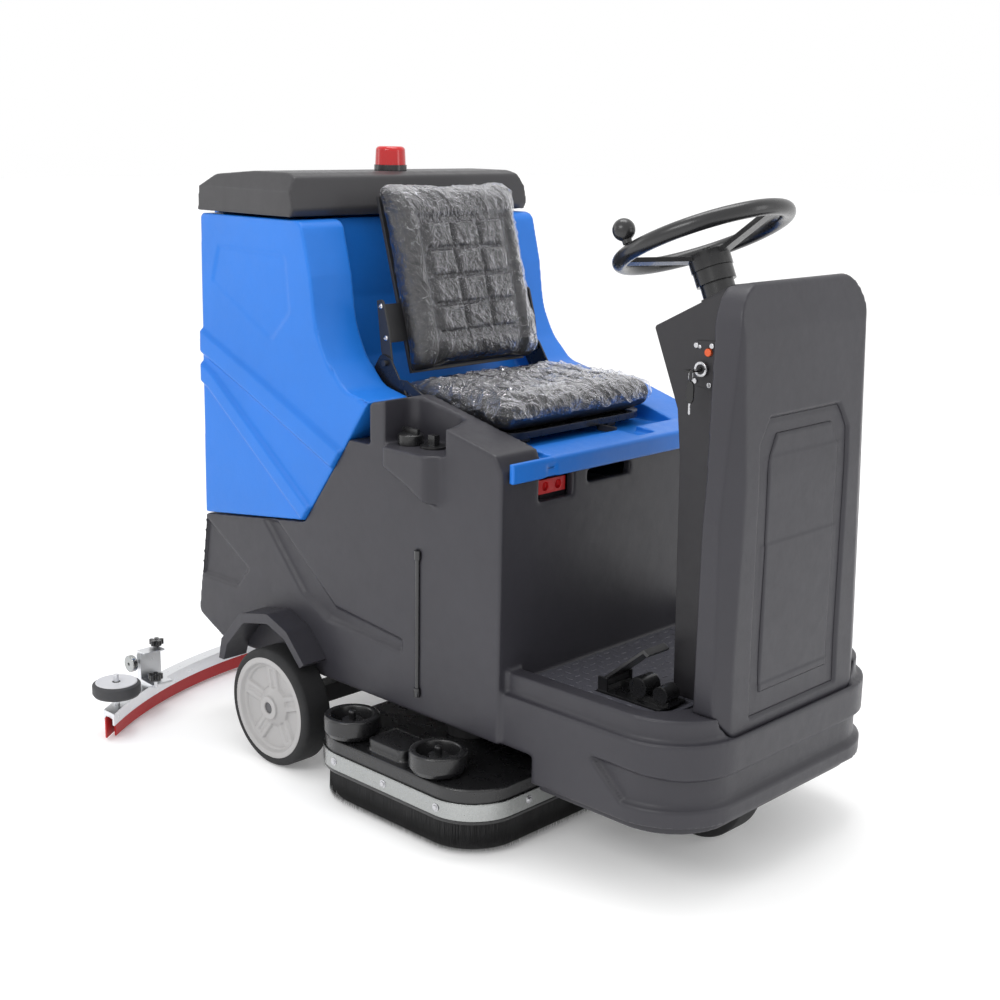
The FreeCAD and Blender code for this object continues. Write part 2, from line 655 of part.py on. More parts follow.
def drive_wheel():
    half = size.drive_width / 2
    tyre = turned("drive_tyre", [(82, -half), (size.drive_radius, -half, 8), (size.drive_radius, half, 8),
                                 (82, half)],
                  ("steer_axis - steer_trail", 0, "drive_radius"), "y")
    part("drive_tyre", tyre)
    bore = size.axle_radius + 0.05
    hub = turned("drive_hub", [(bore, -half - 8), (46, -half - 8), (46, -half + 6), (82, -half + 6),
                               (82, half - 6),
                               (46, half - 6), (46, half + 8), (bore, half + 8)],
                 ("steer_axis - steer_trail", 0, "drive_radius"), "y")
    part("drive_hub", hub)


# ---------------------------------------------------------------- seat and its deck

def seat_deck():
    """The battery cover: a plate with a front lip and a raised left arm, hinged in the lip."""
    front = size.front_wall_reach
    level = size.deck_level
    plate = box("deck_plate", "front_wall_reach - 10", "console_inner + body_half_width - 2", 10,
                (14, "-console_inner + 1.5", "deck_level + gap"))
    under = level + size.gap
    lip_side = [(front - 60, under), (front + 5, under), (front + 5, level - 20), (front + 16, level - 20),
                (front + 16, level + 18, 8), (front - 40, level + 24, 10), (front - 60, level + 24)]
    lip = prism("deck_lip", "xz", lip_side, "-body_half_width + 14", "2 * body_half_width - 16")
    arm = prism("deck_arm", "xz",
                [(14, under), (14, 817), (118, 817, 60), (front - 50, level + 22), (front - 50, under)],
                "console_inner + 2", "body_half_width - console_inner - 3")
    beside = box("deck_beside_console", 70, 130, 60, ("front_wall_reach - 63", "-body_half_width - 4",
                                                      "deck_level - 1"))
    notch = box("slide_lever_notch", 62, 58, 20, ("front_wall_reach - 72", 56, "deck_level + 12"))
    corner = cut("deck_lip_open", lip, beside, notch)
    strip = box("deck_lip_end", 11, "body_half_width - console_inner + 1", 38,
                ("front_wall_reach + 5", "-body_half_width + 14", "deck_level - 20"))
    slots = both_sides("deck_hinge_slots", box("deck_hinge_slot", 18, 31, 30,
                                               ("front_wall_reach - 4", 209.5, "deck_level - 24")))
    pin = rod("deck_pin", 2.5, 560, ("front_wall_reach + 9", -280, "deck_level - 12"), "y")
    part("seat_deck", group("seat_deck_whole", cut("seat_deck_solid",
                                                   group("seat_deck_form", plate, corner, strip, arm),
                                                   slots), pin))


def seat():
    half = size.seat_width / 2
    rail = both_sides("seat_rails", box("seat_rail", 250, 26, "cushion_base - deck_level - 24",
                                          (-20, 120, "deck_level + 10.8")))
    pan = prism("seat_pan", "xy",
                [(-60, -half - 4, 10), (size.seat_front - 12, -half - 4, 60),
                 (size.seat_front - 12, half + 4, 60),
                 (-60, half + 4, 10)], "cushion_base - 14", 13.6)
    bracket_side = [(-117, 868), (-95, 900, 14), (-67, 890, 12), (-14, 812), (8, 762), (-58, 762),
                    (-85, 820)]
    bracket = prism("seat_bracket", "xz", bracket_side, "seat_width / 2 + 4", 4)
    hole = rod("bracket_hole", 6.05, 40, ("-pivot_place", "seat_width / 2 - 5", "pivot_height"), "y")
    lever_hole = rod("lever_hole", 5.05, 40, (-24, "seat_width / 2 - 5", 842), "y")
    brackets = both_sides("seat_brackets", cut("seat_bracket_drilled", bracket, hole, lever_hole))
    part("seat_pan", group("seat_pan_whole", rail, pan, brackets))
    cushion = prism("seat_cushion", "xz",
                    [(size.seat_front - size.seat_length, size.cushion_base),
                     (size.seat_front - 6, size.cushion_base, 26),
                     (size.seat_front, size.cushion_base + size.cushion_height - 8, 30),
                     (40, size.cushion_base + size.cushion_height, 80),
                     (-20, size.cushion_base + 66), (size.seat_front - size.seat_length,
                                                     size.cushion_base + 60)],
                    "-seat_width / 2", "seat_width")
    part("seat_cushion", cushion)


def back_tilt():
    return Rotation(Vector(0, 1, 0), -size.back_lean)


def back_point(depth, height):
    """A point in the seat back's own axes, from the recline pivot."""
    offset = tilted(back_tilt(), depth, 0, height)
    return (offset.x - size.pivot_place, offset.z + size.pivot_height)


def back_outline(points):
    return [back_point(*point[:2]) + tuple(point[2:]) for point in points]


def seat_back():
    thick = size.back_thickness
    tall = size.back_height
    cushion = prism("back_cushion", "xz",
                    back_outline([(12, -33, 14), (12 + thick, -12, 26), (12 + thick, tall - 24, 26),
                                  (26, tall, 16),
                                  (12, tall - 10)]),
                    "-back_width / 2", "back_width")
    part("back_cushion", cushion)
    plate = prism("back_plate", "xz",
                  back_outline([(4, -28), (11.6, -28), (11.6, tall - 20), (4, tall - 20)]),
                  "-back_width / 2 + 8", "back_width - 16")
    strap_side = [(-12, -12), (12, -12), (22, 60), (22, 130, 10), (4, 130), (-12, 30)]
    strap = prism("back_strap", "xz", back_outline(strap_side), "seat_width / 2 - 1", 4.5)
    foot = prism("back_strap_foot", "xz", back_outline([(4, 40), (11.6, 40), (11.6, 120), (4, 120)]),
                 "back_width / 2 - 10", "seat_width / 2 - back_width / 2 + 12")
    pin = rod("recline_pin", 6, 16, ("-pivot_place", "seat_width / 2 - 1", "pivot_height"), "y")
    part("back_frame", group("back_frame", plate, both_sides("back_straps",
                                                             group("back_strap_set", strap, foot, pin))))


def seat_levers():
    turn = Rotation(Vector(1, 0, 0), 90)
    pin = rod("recline_lever_pin", 5, 14, (-24, "-seat_width / 2 - 0.6", 842), tilt=turn)
    blade = prism("recline_lever_blade", "xz",
                  [(-34, 834), (-18, 832), (62, 806, 6), (64, 816, 6), (-14, 852), (-34, 852)],
                  "-seat_width / 2 - 14", 5)
    part("recline_lever", group("recline_lever", pin, blade))
    bar = box("slide_lever_bar", 60, 8, 5, (190, 64, "cushion_base - 19.4"))
    grip = box("slide_lever_grip", 46, 8, 12, (250, 64, "cushion_base - 27"))
    pivot = rod("slide_lever_pivot", 6, 4, (195, 68, "cushion_base - 22.4"))
    part("slide_lever", group("slide_lever", bar, grip, pivot))


# ---------------------------------------------------------------- pedals and floor

def tread_screw_places():
    return [(392, -255), (392, 255), (500, -255), (500, 255)]


def floor_plate():
    """Tread plate on the footwell's floor, left open for the dash column and the pedals."""
    half = size.floor_half_width - 12
    low = "floor_level - 2"
    plate = prism("tread_plate", "xy",
                  [(size.front_wall_reach + 4, -half, 12), (684, -half, 60), (684, half, 60),
                   (size.front_wall_reach + 4, half, 12)], "floor_level + 0.3", "plate_thickness")
    opening = box("column_opening", 200, "2 * column_half_width + 2", 20,
                  ("column_rear - 6", "-column_half_width - 1", low))
    accelerator_room = box("accelerator_room", 166, 84, 20, (508, -226, low))
    brake_room = box("brake_room", 62, 84, 20, (508, 142, low))
    screw_rooms = [rod("tread_screw_room_%d" % index, 5.4, 20, (x, y, low))
                   for index, (x, y) in enumerate(tread_screw_places())]
    part("floor_plate", cut("floor_plate", plate, opening, accelerator_room, brake_room, *screw_rooms))


def heel_stand(name, near, far):
    """Two ears and a pin that carry a treadle's heel."""
    floor = size.floor_level
    ears = [box("%s_ear_%d" % (name, index), 22, 5, 30, (513, side, floor + 3))
            for index, side in enumerate((near - 6, far + 1))]
    pin = rod(name + "_pin", 5, far - near + 12, (524, near - 6, floor + 22), "y")
    return [*ears, pin]


def treadle(name, near, far):
    """A tread plate that rises forwards from the pin at its heel, with a lip at the top."""
    floor = size.floor_level
    wide = far - near
    slope = [(524, floor + 26), (612, floor + 100), (622, floor + 95), (626, floor + 100),
             (613, floor + 108),
             (519, floor + 30)]
    plate = prism(name + "_plate", "xz", slope, near, wide)
    sleeve = rod(name + "_sleeve", 9, wide, (524, near, floor + 22), "y")
    bore = rod(name + "_bore", 5.05, wide, (524, near, floor + 22), "y")
    return cut(name, group(name + "_solid", plate, sleeve), bore)


def pedals():
    floor = size.floor_level
    base = box("pedal_base_plate", 150, 78, 6, (512, -223, floor + 0.3))
    brake_base = box("brake_base_plate", 50, 78, 6, (512, 145, floor + 0.3))
    saddle = box("sensor_saddle", 84, 36, 12, (584, -206, floor + 5))
    sensor = rod("pedal_sensor", 20, 44, (600, -212, floor + 30), "y")
    cover = rod("pedal_sensor_cover", 17, 38, (650, -208, floor + 27), "y")
    brake_stand = heel_stand("brake", 152, 216)
    part("pedal_base", group("pedal_base", base, brake_base, saddle, sensor, cover,
                             *heel_stand("accelerator", -216, -152), *brake_stand))
    part("accelerator_treadle", treadle("accelerator_treadle", -215, -153))
    part("brake_pedal", treadle("brake_pedal", 153, 215))


# ---------------------------------------------------------------- small fittings

def level_tube():
    """The clear level tube in its groove, with an elbow at each end."""
    place = "-body_half_width - 1"
    tube = ring("level_pipe", 4.5, 3, 286, ("level_place", place, 250))
    low = rod("level_low", 7, 18, ("level_place", place, 244))
    high = rod("level_high", 7, 18, ("level_place", place, 530))
    part("level_tube", group("level_tube", tube, low, high))


def charge_connector():
    shell = box("connector_shell", 14, 78, 28, ("front_wall_reach - 27", "-socket_offset - 39",
                                                "deck_level - 59"))
    poles = [rod("connector_pole_%d" % index, 9, 20,
                 ("front_wall_reach - 20", "-socket_offset + %d" % shift, "deck_level - 45"), "x")
             for index, shift in enumerate((-18, 18))]
    part("charge_connector", cut("charge_connector", shell, *poles))


def console_caps():
    """The filler cap and the water valve's knob, in the console's tray."""
    level = size.tray_level + 0.4
    cap_x, cap_y = 82, -306
    cap = turned("cap_body", [(0, 0), (26, 0), (26, 20, 3), (16, 23), (0, 23)], (cap_x, cap_y, level))
    wing = box("cap_wing", 44, 7, 10, (cap_x - 22, cap_y - 3.5, level + 22))
    part("filler_cap", group("filler_cap", cap, wing))
    knob_x, knob_y = 137, -296
    disc = rod("valve_disc", 27, 4, (knob_x, knob_y, level))
    block = box("valve_block", 18, 14, 22, (knob_x - 9, knob_y - 7, level + 3))
    part("valve_knob", group("valve_knob", disc, block))


def batteries():
    low = size.bay_floor + 0.4
    pieces = [box("battery_%d_%d" % (x, y), 152, 208, 260, (x, y, low)) for x in (36, 192) for y in (-212,
                                                                                                     4)]
    part("batteries", group("batteries", *pieces))


def screw(name, at, axis):
    """The head of a cap screw."""
    return turned(name, [(0, 0), (5, 0), (5, 3, 1), (0, 3)], at, axis)


def cover_screws():
    """The key plate's screws stand off its face, and the tread plate's lie flush in its holes."""
    side = -size.column_half_width - 2.5
    places = [(640, side, 988), (674, side, 990), (640, side, 924), (672, side, 920)]
    pieces = []
    for index, place in enumerate(places):
        head = screw("plate_screw_%d" % index, place, "y")
        head.Placement.Rotation = Rotation(Vector(1, 0, 0), 90)
        pieces.append(head)
    for index, (x, y) in enumerate(tread_screw_places()):
        pieces.append(rod("tread_screw_%d" % index, 5, "plate_thickness - 0.2",
                          (x, y, "floor_level + 0.4")))
    return pieces


def fasteners():
    part("cover_screws", group("cover_screws", *cover_screws()))


# ---------------------------------------------------------------- scrub deck

def deck_plan(depth=0.0):
    """The deck's plan moved inwards by depth."""
    half = size.deck_half_width - depth
    rear = -size.deck_rear + depth
    front = size.deck_front - depth
    corner = size.deck_corner - depth
    return [(rear, -half, corner), (front, -half, corner), (front, half, corner), (rear, half, corner)]


def deck_ring(name, outer, inner, start, height):
    wide = prism(name + "_outer", "xy", deck_plan(outer), start, height)
    hollow = prism(name + "_inner", "xy", deck_plan(inner), start, height)
    return cut(name, wide, hollow)


def roller_places():
    return {"front": 270, "rear": 15}


def scrub_deck():
    shell = prism("housing_shell", "xy", deck_plan(4), "skirt_top + 1", "housing_top - skirt_top - 1")
    hollow = prism("housing_hollow", "xy", deck_plan(14), "skirt_top", "housing_top - skirt_top - 6")
    block = both_sides("housing_blocks", prism("housing_block", "xy",
                                               [(90, 352, 8), (196, 352, 8), (196, 432, 14), (90, 432, 14)],
                                               "housing_top - 1", 24))
    posts = []
    for name, place in roller_places().items():
        for side, sign in (("right", -1), ("left", 1)):
            posts.append(rod("roller_post_%s_%s" % (name, side), 8,
                             "roller_base + roller_height - housing_top + 12",
                             (place, sign * size.roller_offset, "housing_top - 6")))
    shaft_holes = both_sides("brush_shaft_holes", rod("brush_shaft_hole", 14, 80,
                                                      ("brush_place", "brush_offset", "housing_top - 30")))
    solid = cut("housing_open", group("housing_solid", shell, block), hollow, shaft_holes)
    posts.append(rod("lift_rod", 12.95, 200, (60, 0, "housing_top - 4")))
    part("deck_housing", group("deck_housing", solid, *posts))
    band = deck_ring("deck_band", 0, 3.6, "skirt_top", "band_top - skirt_top")
    part("deck_band", band)
    skirt = deck_ring("bristle_skirt", 4, 22, "skirt_base", "skirt_top - skirt_base - 0.4")
    part("bristle_skirt", skirt)
    motor = rod("brush_motor", 54, 190, ("brush_place", "brush_offset", "housing_top + 0.4"))
    motor_hole = rod("brush_motor_hole", 12.05, 60, ("brush_place", "brush_offset", "housing_top"))
    part("brush_motors", both_sides("brush_motors", cut("brush_motor_bored", motor, motor_hole)))


def brushes():
    """Disc brushes under the deck, each with its drive shaft."""
    for name, sign in (("right", -1), ("left", 1)):
        at = sign * size.brush_offset
        plate = rod("brush_plate_" + name, "brush_radius - 4", 14, ("brush_place", at, 62))
        tufts = ring("brush_tufts_" + name, "brush_radius", "brush_radius - 70", 58,
                     ("brush_place", at, "skirt_base"))
        shaft = rod("brush_shaft_" + name, 12, 110, ("brush_place", at, 76))
        part("brush_" + name, group("brush_" + name, plate, tufts, shaft))


def guide_rollers():
    """Cup-shaped rollers that keep the deck off the wall, on posts of the housing."""
    tall = size.roller_height
    edge = size.roller_radius
    for place_name, place in roller_places().items():
        for side_name, sign in (("right", -1), ("left", 1)):
            name = "guide_roller_%s_%s" % (place_name, side_name)
            cup = turned(name, [(8.05, 6), (18, 6), (18, 0), (edge - 6, 0), (edge, 10, 4), (edge, tall, 5),
                                (edge - 14, tall, 4), (edge - 20, 16), (20, 16), (20, tall - 12),
                                (8.05, tall - 12)],
                         (place, sign * size.roller_offset, "roller_base"))
            part(name, cup)


def lift_actuator():
    """An electric cylinder that hangs the deck from the frame, in two telescoping parts."""
    can = ring("lift_can", 20, 13, 85, (60, 0, 300))
    bracket = box("lift_bracket", 40, 222, 18, (40, -111, "bay_floor - 34"))
    legs = both_sides("lift_legs", box("lift_leg", 40, 10, "bay_floor - cavity_top - 24",
                                       (40, 101, "cavity_top")))
    return group("lift_actuator", can, bracket, legs)


# ---------------------------------------------------------------- squeegee

def arc_place(y, setback=0.0):
    """Where the squeegee's curve lies at a distance from the machine's middle."""
    reach = size.blade_radius + setback
    centre = -size.rear_reach + size.blade_setback + size.blade_radius
    return centre - math.sqrt(reach ** 2 - y ** 2)


def squeegee_strip(name, behind, ahead, half, start, height):
    """A strip that follows the squeegee's curve."""
    piece = new("Sketcher::SketchObject", name + "_outline")
    centre = -size.rear_reach + size.blade_setback + size.blade_radius
    ends = []
    for reach in (size.blade_radius + behind, size.blade_radius - ahead):
        end_x = centre - math.sqrt(reach ** 2 - half ** 2)
        low = Vector(end_x, -half, 0)
        high = Vector(end_x, half, 0)
        piece.addGeometry(Part.ArcOfCircle(low, Vector(centre - reach, 0, 0), high), False)
        ends.append((low, high))
    for side in (0, 1):
        piece.addGeometry(Part.LineSegment(ends[0][side], ends[1][side]), False)
    bind(piece, Placement__Base__z=start)
    strip = new("Part::Extrusion", name)
    strip.Base = piece
    strip.Dir = Vector(0, 0, 1)
    strip.Solid = True
    return bind(strip, LengthFwd=height)


def knob_points():
    """Where each star knob's screw stands: along the squeegee, across it and its height."""
    return [(arc_place(390, 4), 390, 158), (arc_place(432, -30), 432, 96)]


def squeegee():
    half = size.blade_half_width
    deep = size.channel_width / 2
    channel_base = "blade_base + blade_height - 14"
    channel = squeegee_strip("channel_bar", deep, deep, half - 6, channel_base, "channel_height + 6")
    groove = squeegee_strip("channel_groove", deep - 6, deep - 6, half - 2, channel_base, 15)
    nozzle = ring("suction_nozzle", 28, 23, 60, (arc_place(0), 0, "blade_base + blade_height + 10"))
    throat = rod("suction_throat", 12, 60, (arc_place(0), 0, "blade_base + 20"))
    yoke = both_sides("squeegee_yoke", box("yoke_plate", 92, 8, 52,
                                           (arc_place(60) - 10, 48, "blade_base + blade_height + 12")))
    bridge = box("yoke_bridge", 60, 112, 8, (arc_place(0) + 54, -56, "blade_base + blade_height + 56"))
    bore = rod("swivel_bore", 8.05, 80, (arc_place(0) + 84, 0, 60))
    posts = []
    for x, y, height in knob_points():
        posts.append(rod("knob_screw_%d" % y, 4, height - 66, (x, -y, 66)))
    bracket = prism("roller_bracket", "xz",
                    [(arc_place(410) - 22, 66), (arc_place(410) + 40, 66), (arc_place(410) + 40, 71),
                     (arc_place(410) - 6, 74), (arc_place(410) - 6, 138), (arc_place(410) + 12, 138),
                     (arc_place(410) + 12, 142), (arc_place(410) - 22, 142)], -440, 56)
    bracket_set = group("roller_bracket_set", bracket, *posts)
    axle = rod("caster_axle", 4, 40, (arc_place(410) - 24, -455, 112), "y")
    wheel_post = rod("guide_wheel_post", 6, 74, (guide_wheel_place(), "-blade_half_width + 45", 66))
    sides = both_sides("squeegee_fittings", group("squeegee_fitting_set", bracket_set, axle, wheel_post))
    solid = cut("channel_solid", group("channel_form", channel, yoke, bridge), groove, bore, throat)
    part("squeegee_channel", group("squeegee_channel", solid, nozzle, sides))
    front = squeegee_strip("blade_front", 11 - deep, deep - 6.4, half - 20, "blade_base + 2",
                           "blade_height - 3")
    rear = squeegee_strip("blade_rear", deep - 6.4, 11 - deep, half, "blade_base", "blade_height - 1")
    part("squeegee_blades", group("squeegee_blades", front, rear))


def guide_wheel_place():
    return arc_place(size.blade_half_width - 45, 0)


def squeegee_wheels():
    for name, sign in (("right", -1), ("left", 1)):
        edge = size.guide_wheel_radius
        wheel = turned("guide_wheel_" + name,
                       [(6.05, 0), (edge - 4, 0), (edge, 6, 3), (edge, 26, 4), (edge - 8, 30), (6.05, 30)],
                       (guide_wheel_place(), sign * (size.blade_half_width - 45), 92))
        part("guide_wheel_" + name, wheel)
        caster = turned("caster_" + name, [(4.05, 0), (20, 0, 3), (20, 14, 3), (4.05, 14)],
                        (arc_place(410) - 24, sign * 447, 112))
        caster.Placement.Rotation = AXES["y"] if sign > 0 else Rotation(Vector(1, 0, 0), 90)
        part("caster_" + name, caster)


def star_knob(name, at):
    """Five lobes round a hub."""
    hub = ring(name + "_hub", 9, 4.05, 16, at)
    lobes = []
    for index in range(5):
        angle = math.radians(72 * index)
        lobe = rod("%s_lobe_%d" % (name, index), 5.5, 12,
                   (at[0] + 12 * math.cos(angle), at[1] + 12 * math.sin(angle), at[2] + 4))
        lobes.append(lobe)
    screw_room = rod(name + "_room", 4.05, 14, at)
    return cut(name, group(name + "_solid", hub, *lobes), screw_room)


def star_knobs():
    pieces = [star_knob("star_knob_%d" % index, (x, -y, height - 14))
              for index, (x, y, height) in enumerate(knob_points())]
    part("star_knobs", both_sides("star_knobs", group("star_knobs_right", *pieces)))


def squeegee_arm():
    """The trailing arm from the chassis to the squeegee's swivel pin."""
    start = -size.arm_pivot_place
    end = arc_place(0) + 84
    sleeve = rod("arm_sleeve", 15, 67.2, (start, -33.6, "arm_pivot_height"), "y")
    bar = prism("arm_bar", "xz",
                [(start + 4, size.arm_pivot_height - 12), (start + 4, size.arm_pivot_height + 12),
                 (end - 14, 152), (end - 14, 132)], -16, 32)
    boss = rod("arm_boss", 20, 20, (end, 0, 132))
    bore = rod("arm_bore", 8.05, 67.2, (start, -33.6, "arm_pivot_height"), "y")
    pin = rod("swivel_pin", 8, 46, (end, 0, 92))
    part("squeegee_arm", cut("squeegee_arm", group("squeegee_arm_solid", sleeve, bar, boss, pin), bore))


# ---------------------------------------------------------------- assembly

lower_body()
front_shroud()
dash_column()
dash_plates()
key_and_button()
recovery_tank()
vacuum_motor()
tank_lid()
beacon()
chassis_frame()
rear_wheel(-1, "right")
rear_wheel(1, "left")
rear_fenders()
steering()
spinner_knob()
steering_column()
steer_fork()
drive_wheel()
seat_deck()
seat()
seat_back()
seat_levers()
floor_plate()
pedals()
level_tube()
charge_connector()
console_caps()
batteries()
fasteners()
scrub_deck()
brushes()
guide_rollers()
part("lift_actuator", lift_actuator())
squeegee()
squeegee_wheels()
star_knobs()
squeegee_arm()

document.recompute()
for item in document.Objects:
    faults = {"Invalid", "Error"} & set(item.State)
    if faults:
        raise RuntimeError("%s did not rebuild: %s" % (item.Label, ", ".join(faults)))
os.makedirs("parts", exist_ok=True)
for node, piece in parts.items():
    shape = piece.Shape
    if shape.isNull() or not shape.isValid() or not shape.Solids:
        raise RuntimeError(node + " has no valid solid")
    shape.exportStep(os.path.join("parts", node + ".step"))
print(len(parts), "sub-parts")
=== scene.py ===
"""The ride-on floor scrubber's looks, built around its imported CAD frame, in metres."""
import json
import math
import random

import bmesh
import bpy
import numpy as np
from mathutils import Matrix, Vector, noise


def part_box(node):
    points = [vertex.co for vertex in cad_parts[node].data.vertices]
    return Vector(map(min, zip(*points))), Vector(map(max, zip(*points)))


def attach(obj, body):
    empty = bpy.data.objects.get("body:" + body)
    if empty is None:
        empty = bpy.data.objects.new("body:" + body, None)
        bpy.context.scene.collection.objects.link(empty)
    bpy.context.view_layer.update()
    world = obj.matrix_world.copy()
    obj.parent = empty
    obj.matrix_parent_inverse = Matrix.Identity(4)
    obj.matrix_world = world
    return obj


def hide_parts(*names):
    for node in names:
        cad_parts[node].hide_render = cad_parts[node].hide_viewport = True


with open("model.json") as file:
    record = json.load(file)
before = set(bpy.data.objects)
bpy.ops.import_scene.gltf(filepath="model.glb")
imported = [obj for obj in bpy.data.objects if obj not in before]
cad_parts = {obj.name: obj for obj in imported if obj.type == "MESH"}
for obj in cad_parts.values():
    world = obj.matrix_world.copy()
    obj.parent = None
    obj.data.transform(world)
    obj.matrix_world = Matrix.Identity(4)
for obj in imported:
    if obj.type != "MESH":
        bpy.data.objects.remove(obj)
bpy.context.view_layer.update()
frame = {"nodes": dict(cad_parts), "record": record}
nodes = frame["nodes"]
node_body = {node: body for body, names in frame["record"]["behaviour"]["bodies"].items()
             for node in names}
MM = 0.001
chance = random.Random(7)


# ---------------------------------------------------------------- materials

def add(tree, kind, values=None, **settings):
    """A shader node with its inputs set by name."""
    node = tree.nodes.new("ShaderNode" + kind)
    for name, value in settings.items():
        setattr(node, name, value)
    for name, value in (values or {}).items():
        node.inputs[name].default_value = value
    return node


def tinted(colour, share):
    """The colour made lighter or darker by a share, as RGBA."""
    return tuple(min(1.0, channel * (1 + share)) for channel in colour) + (1.0,)


def mixed(tree, factor, first, second):
    """A colour between two, where factor comes from another node."""
    mix = add(tree, "Mix", data_type="RGBA")
    tree.links.new(factor, mix.inputs[0])
    for socket, colour in ((mix.inputs[6], first), (mix.inputs[7], second)):
        if isinstance(colour, tuple):
            socket.default_value = colour
        else:
            tree.links.new(colour, socket)
    return mix.outputs[2]


def ranged(tree, value, low, high, to_low, to_high):
    node = add(tree, "MapRange", {"From Min": low, "From Max": high, "To Min": to_low, "To Max": to_high})
    tree.links.new(value, node.inputs["Value"])
    return node.outputs["Result"]


def product(tree, first, second):
    node = add(tree, "Math", operation="MULTIPLY")
    tree.links.new(first, node.inputs[0])
    if isinstance(second, float):
        node.inputs[1].default_value = second
    else:
        tree.links.new(second, node.inputs[1])
    return node.outputs[0]


def noise_in(tree, place, scale, detail=3.0, rough=0.5, stretch=None):
    if stretch:
        mapping = add(tree, "Mapping", {"Scale": stretch})
        tree.links.new(place, mapping.inputs["Vector"])
        place = mapping.outputs["Vector"]
    node = add(tree, "TexNoise", {"Scale": scale, "Detail": detail, "Roughness": rough})
    tree.links.new(place, node.inputs["Vector"])
    return node.outputs["Fac"]


def bumped(tree, height, normal, strength, distance):
    node = add(tree, "Bump", {"Strength": strength, "Distance": distance})
    tree.links.new(height, node.inputs["Height"])
    tree.links.new(normal, node.inputs["Normal"])
    return node.outputs["Normal"]


def surface(name, colour, rough, metal=0.0, tone=0.08, grain=0.25, grain_scale=650.0, wave=0.12,
            wave_scale=22.0, edge_wear_and_painted_light=0.35, edge_wear_and_painted_light_tint=0.9, edge=0.0018, coat=0.0, stretch=None, specular=0.5):
    """A finish with colour drift, moulding grain, ripple, and a tint along its edges that is partly wear and partly a
    painted highlight: lighter edges for a positive tint, darker edges for a negative one.
    """
    material = bpy.data.materials.new(name)
    material.use_nodes = True
    tree = material.node_tree
    shader = tree.nodes["Principled BSDF"]
    shader.inputs["Metallic"].default_value = metal
    shader.inputs["Specular IOR Level"].default_value = specular
    shader.inputs["Coat Weight"].default_value = coat
    place = add(tree, "TexCoord").outputs["Object"]
    drift = noise_in(tree, place, 5.0, 5.0, 0.6)
    patches = noise_in(tree, place, 42.0, 8.0, 0.72)
    fine = noise_in(tree, place, grain_scale, 3.0, 0.6, stretch)
    ripple = noise_in(tree, place, wave_scale, 2.0)
    rounded = add(tree, "Bevel", {"Radius": edge}, samples=4).outputs["Normal"]
    corner = add(tree, "VectorMath", operation="DOT_PRODUCT")
    tree.links.new(rounded, corner.inputs[0])
    tree.links.new(add(tree, "NewGeometry").outputs["Normal"], corner.inputs[1])
    # Painted highlight and wear: the colour changes along the edges that the Bevel normal finds, lighter for a
    # positive tint and darker for a negative one.
    edge_wear_and_painted_light_mask = product(tree, ranged(tree, corner.outputs["Value"], 0.99, 0.80, 0.0, edge_wear_and_painted_light),
                     ranged(tree, patches, 0.35, 0.65, 0.1, 1.0))
    drifted = mixed(tree, ranged(tree, drift, 0.3, 0.7, 0.0, 1.0), tinted(colour, -tone), tinted(colour, tone))
    speckled = mixed(tree, ranged(tree, fine, 0.35, 0.75, 0.0, 0.35), drifted, tinted(colour, -2.2 * tone))
    # The edge colour mixed in here is partly wear and partly a painted highlight on the bevels.
    tree.links.new(mixed(tree, edge_wear_and_painted_light_mask, speckled, tinted(colour, edge_wear_and_painted_light_tint)), shader.inputs["Base Color"])
    tree.links.new(ranged(tree, patches, 0.25, 0.75, max(0.04, rough - 0.07), min(1.0, rough + 0.09)),
                   shader.inputs["Roughness"])
    normal = bumped(tree, ripple, rounded, wave, 0.004)
    tree.links.new(bumped(tree, fine, normal, grain, 0.0006), shader.inputs["Normal"])
    return material


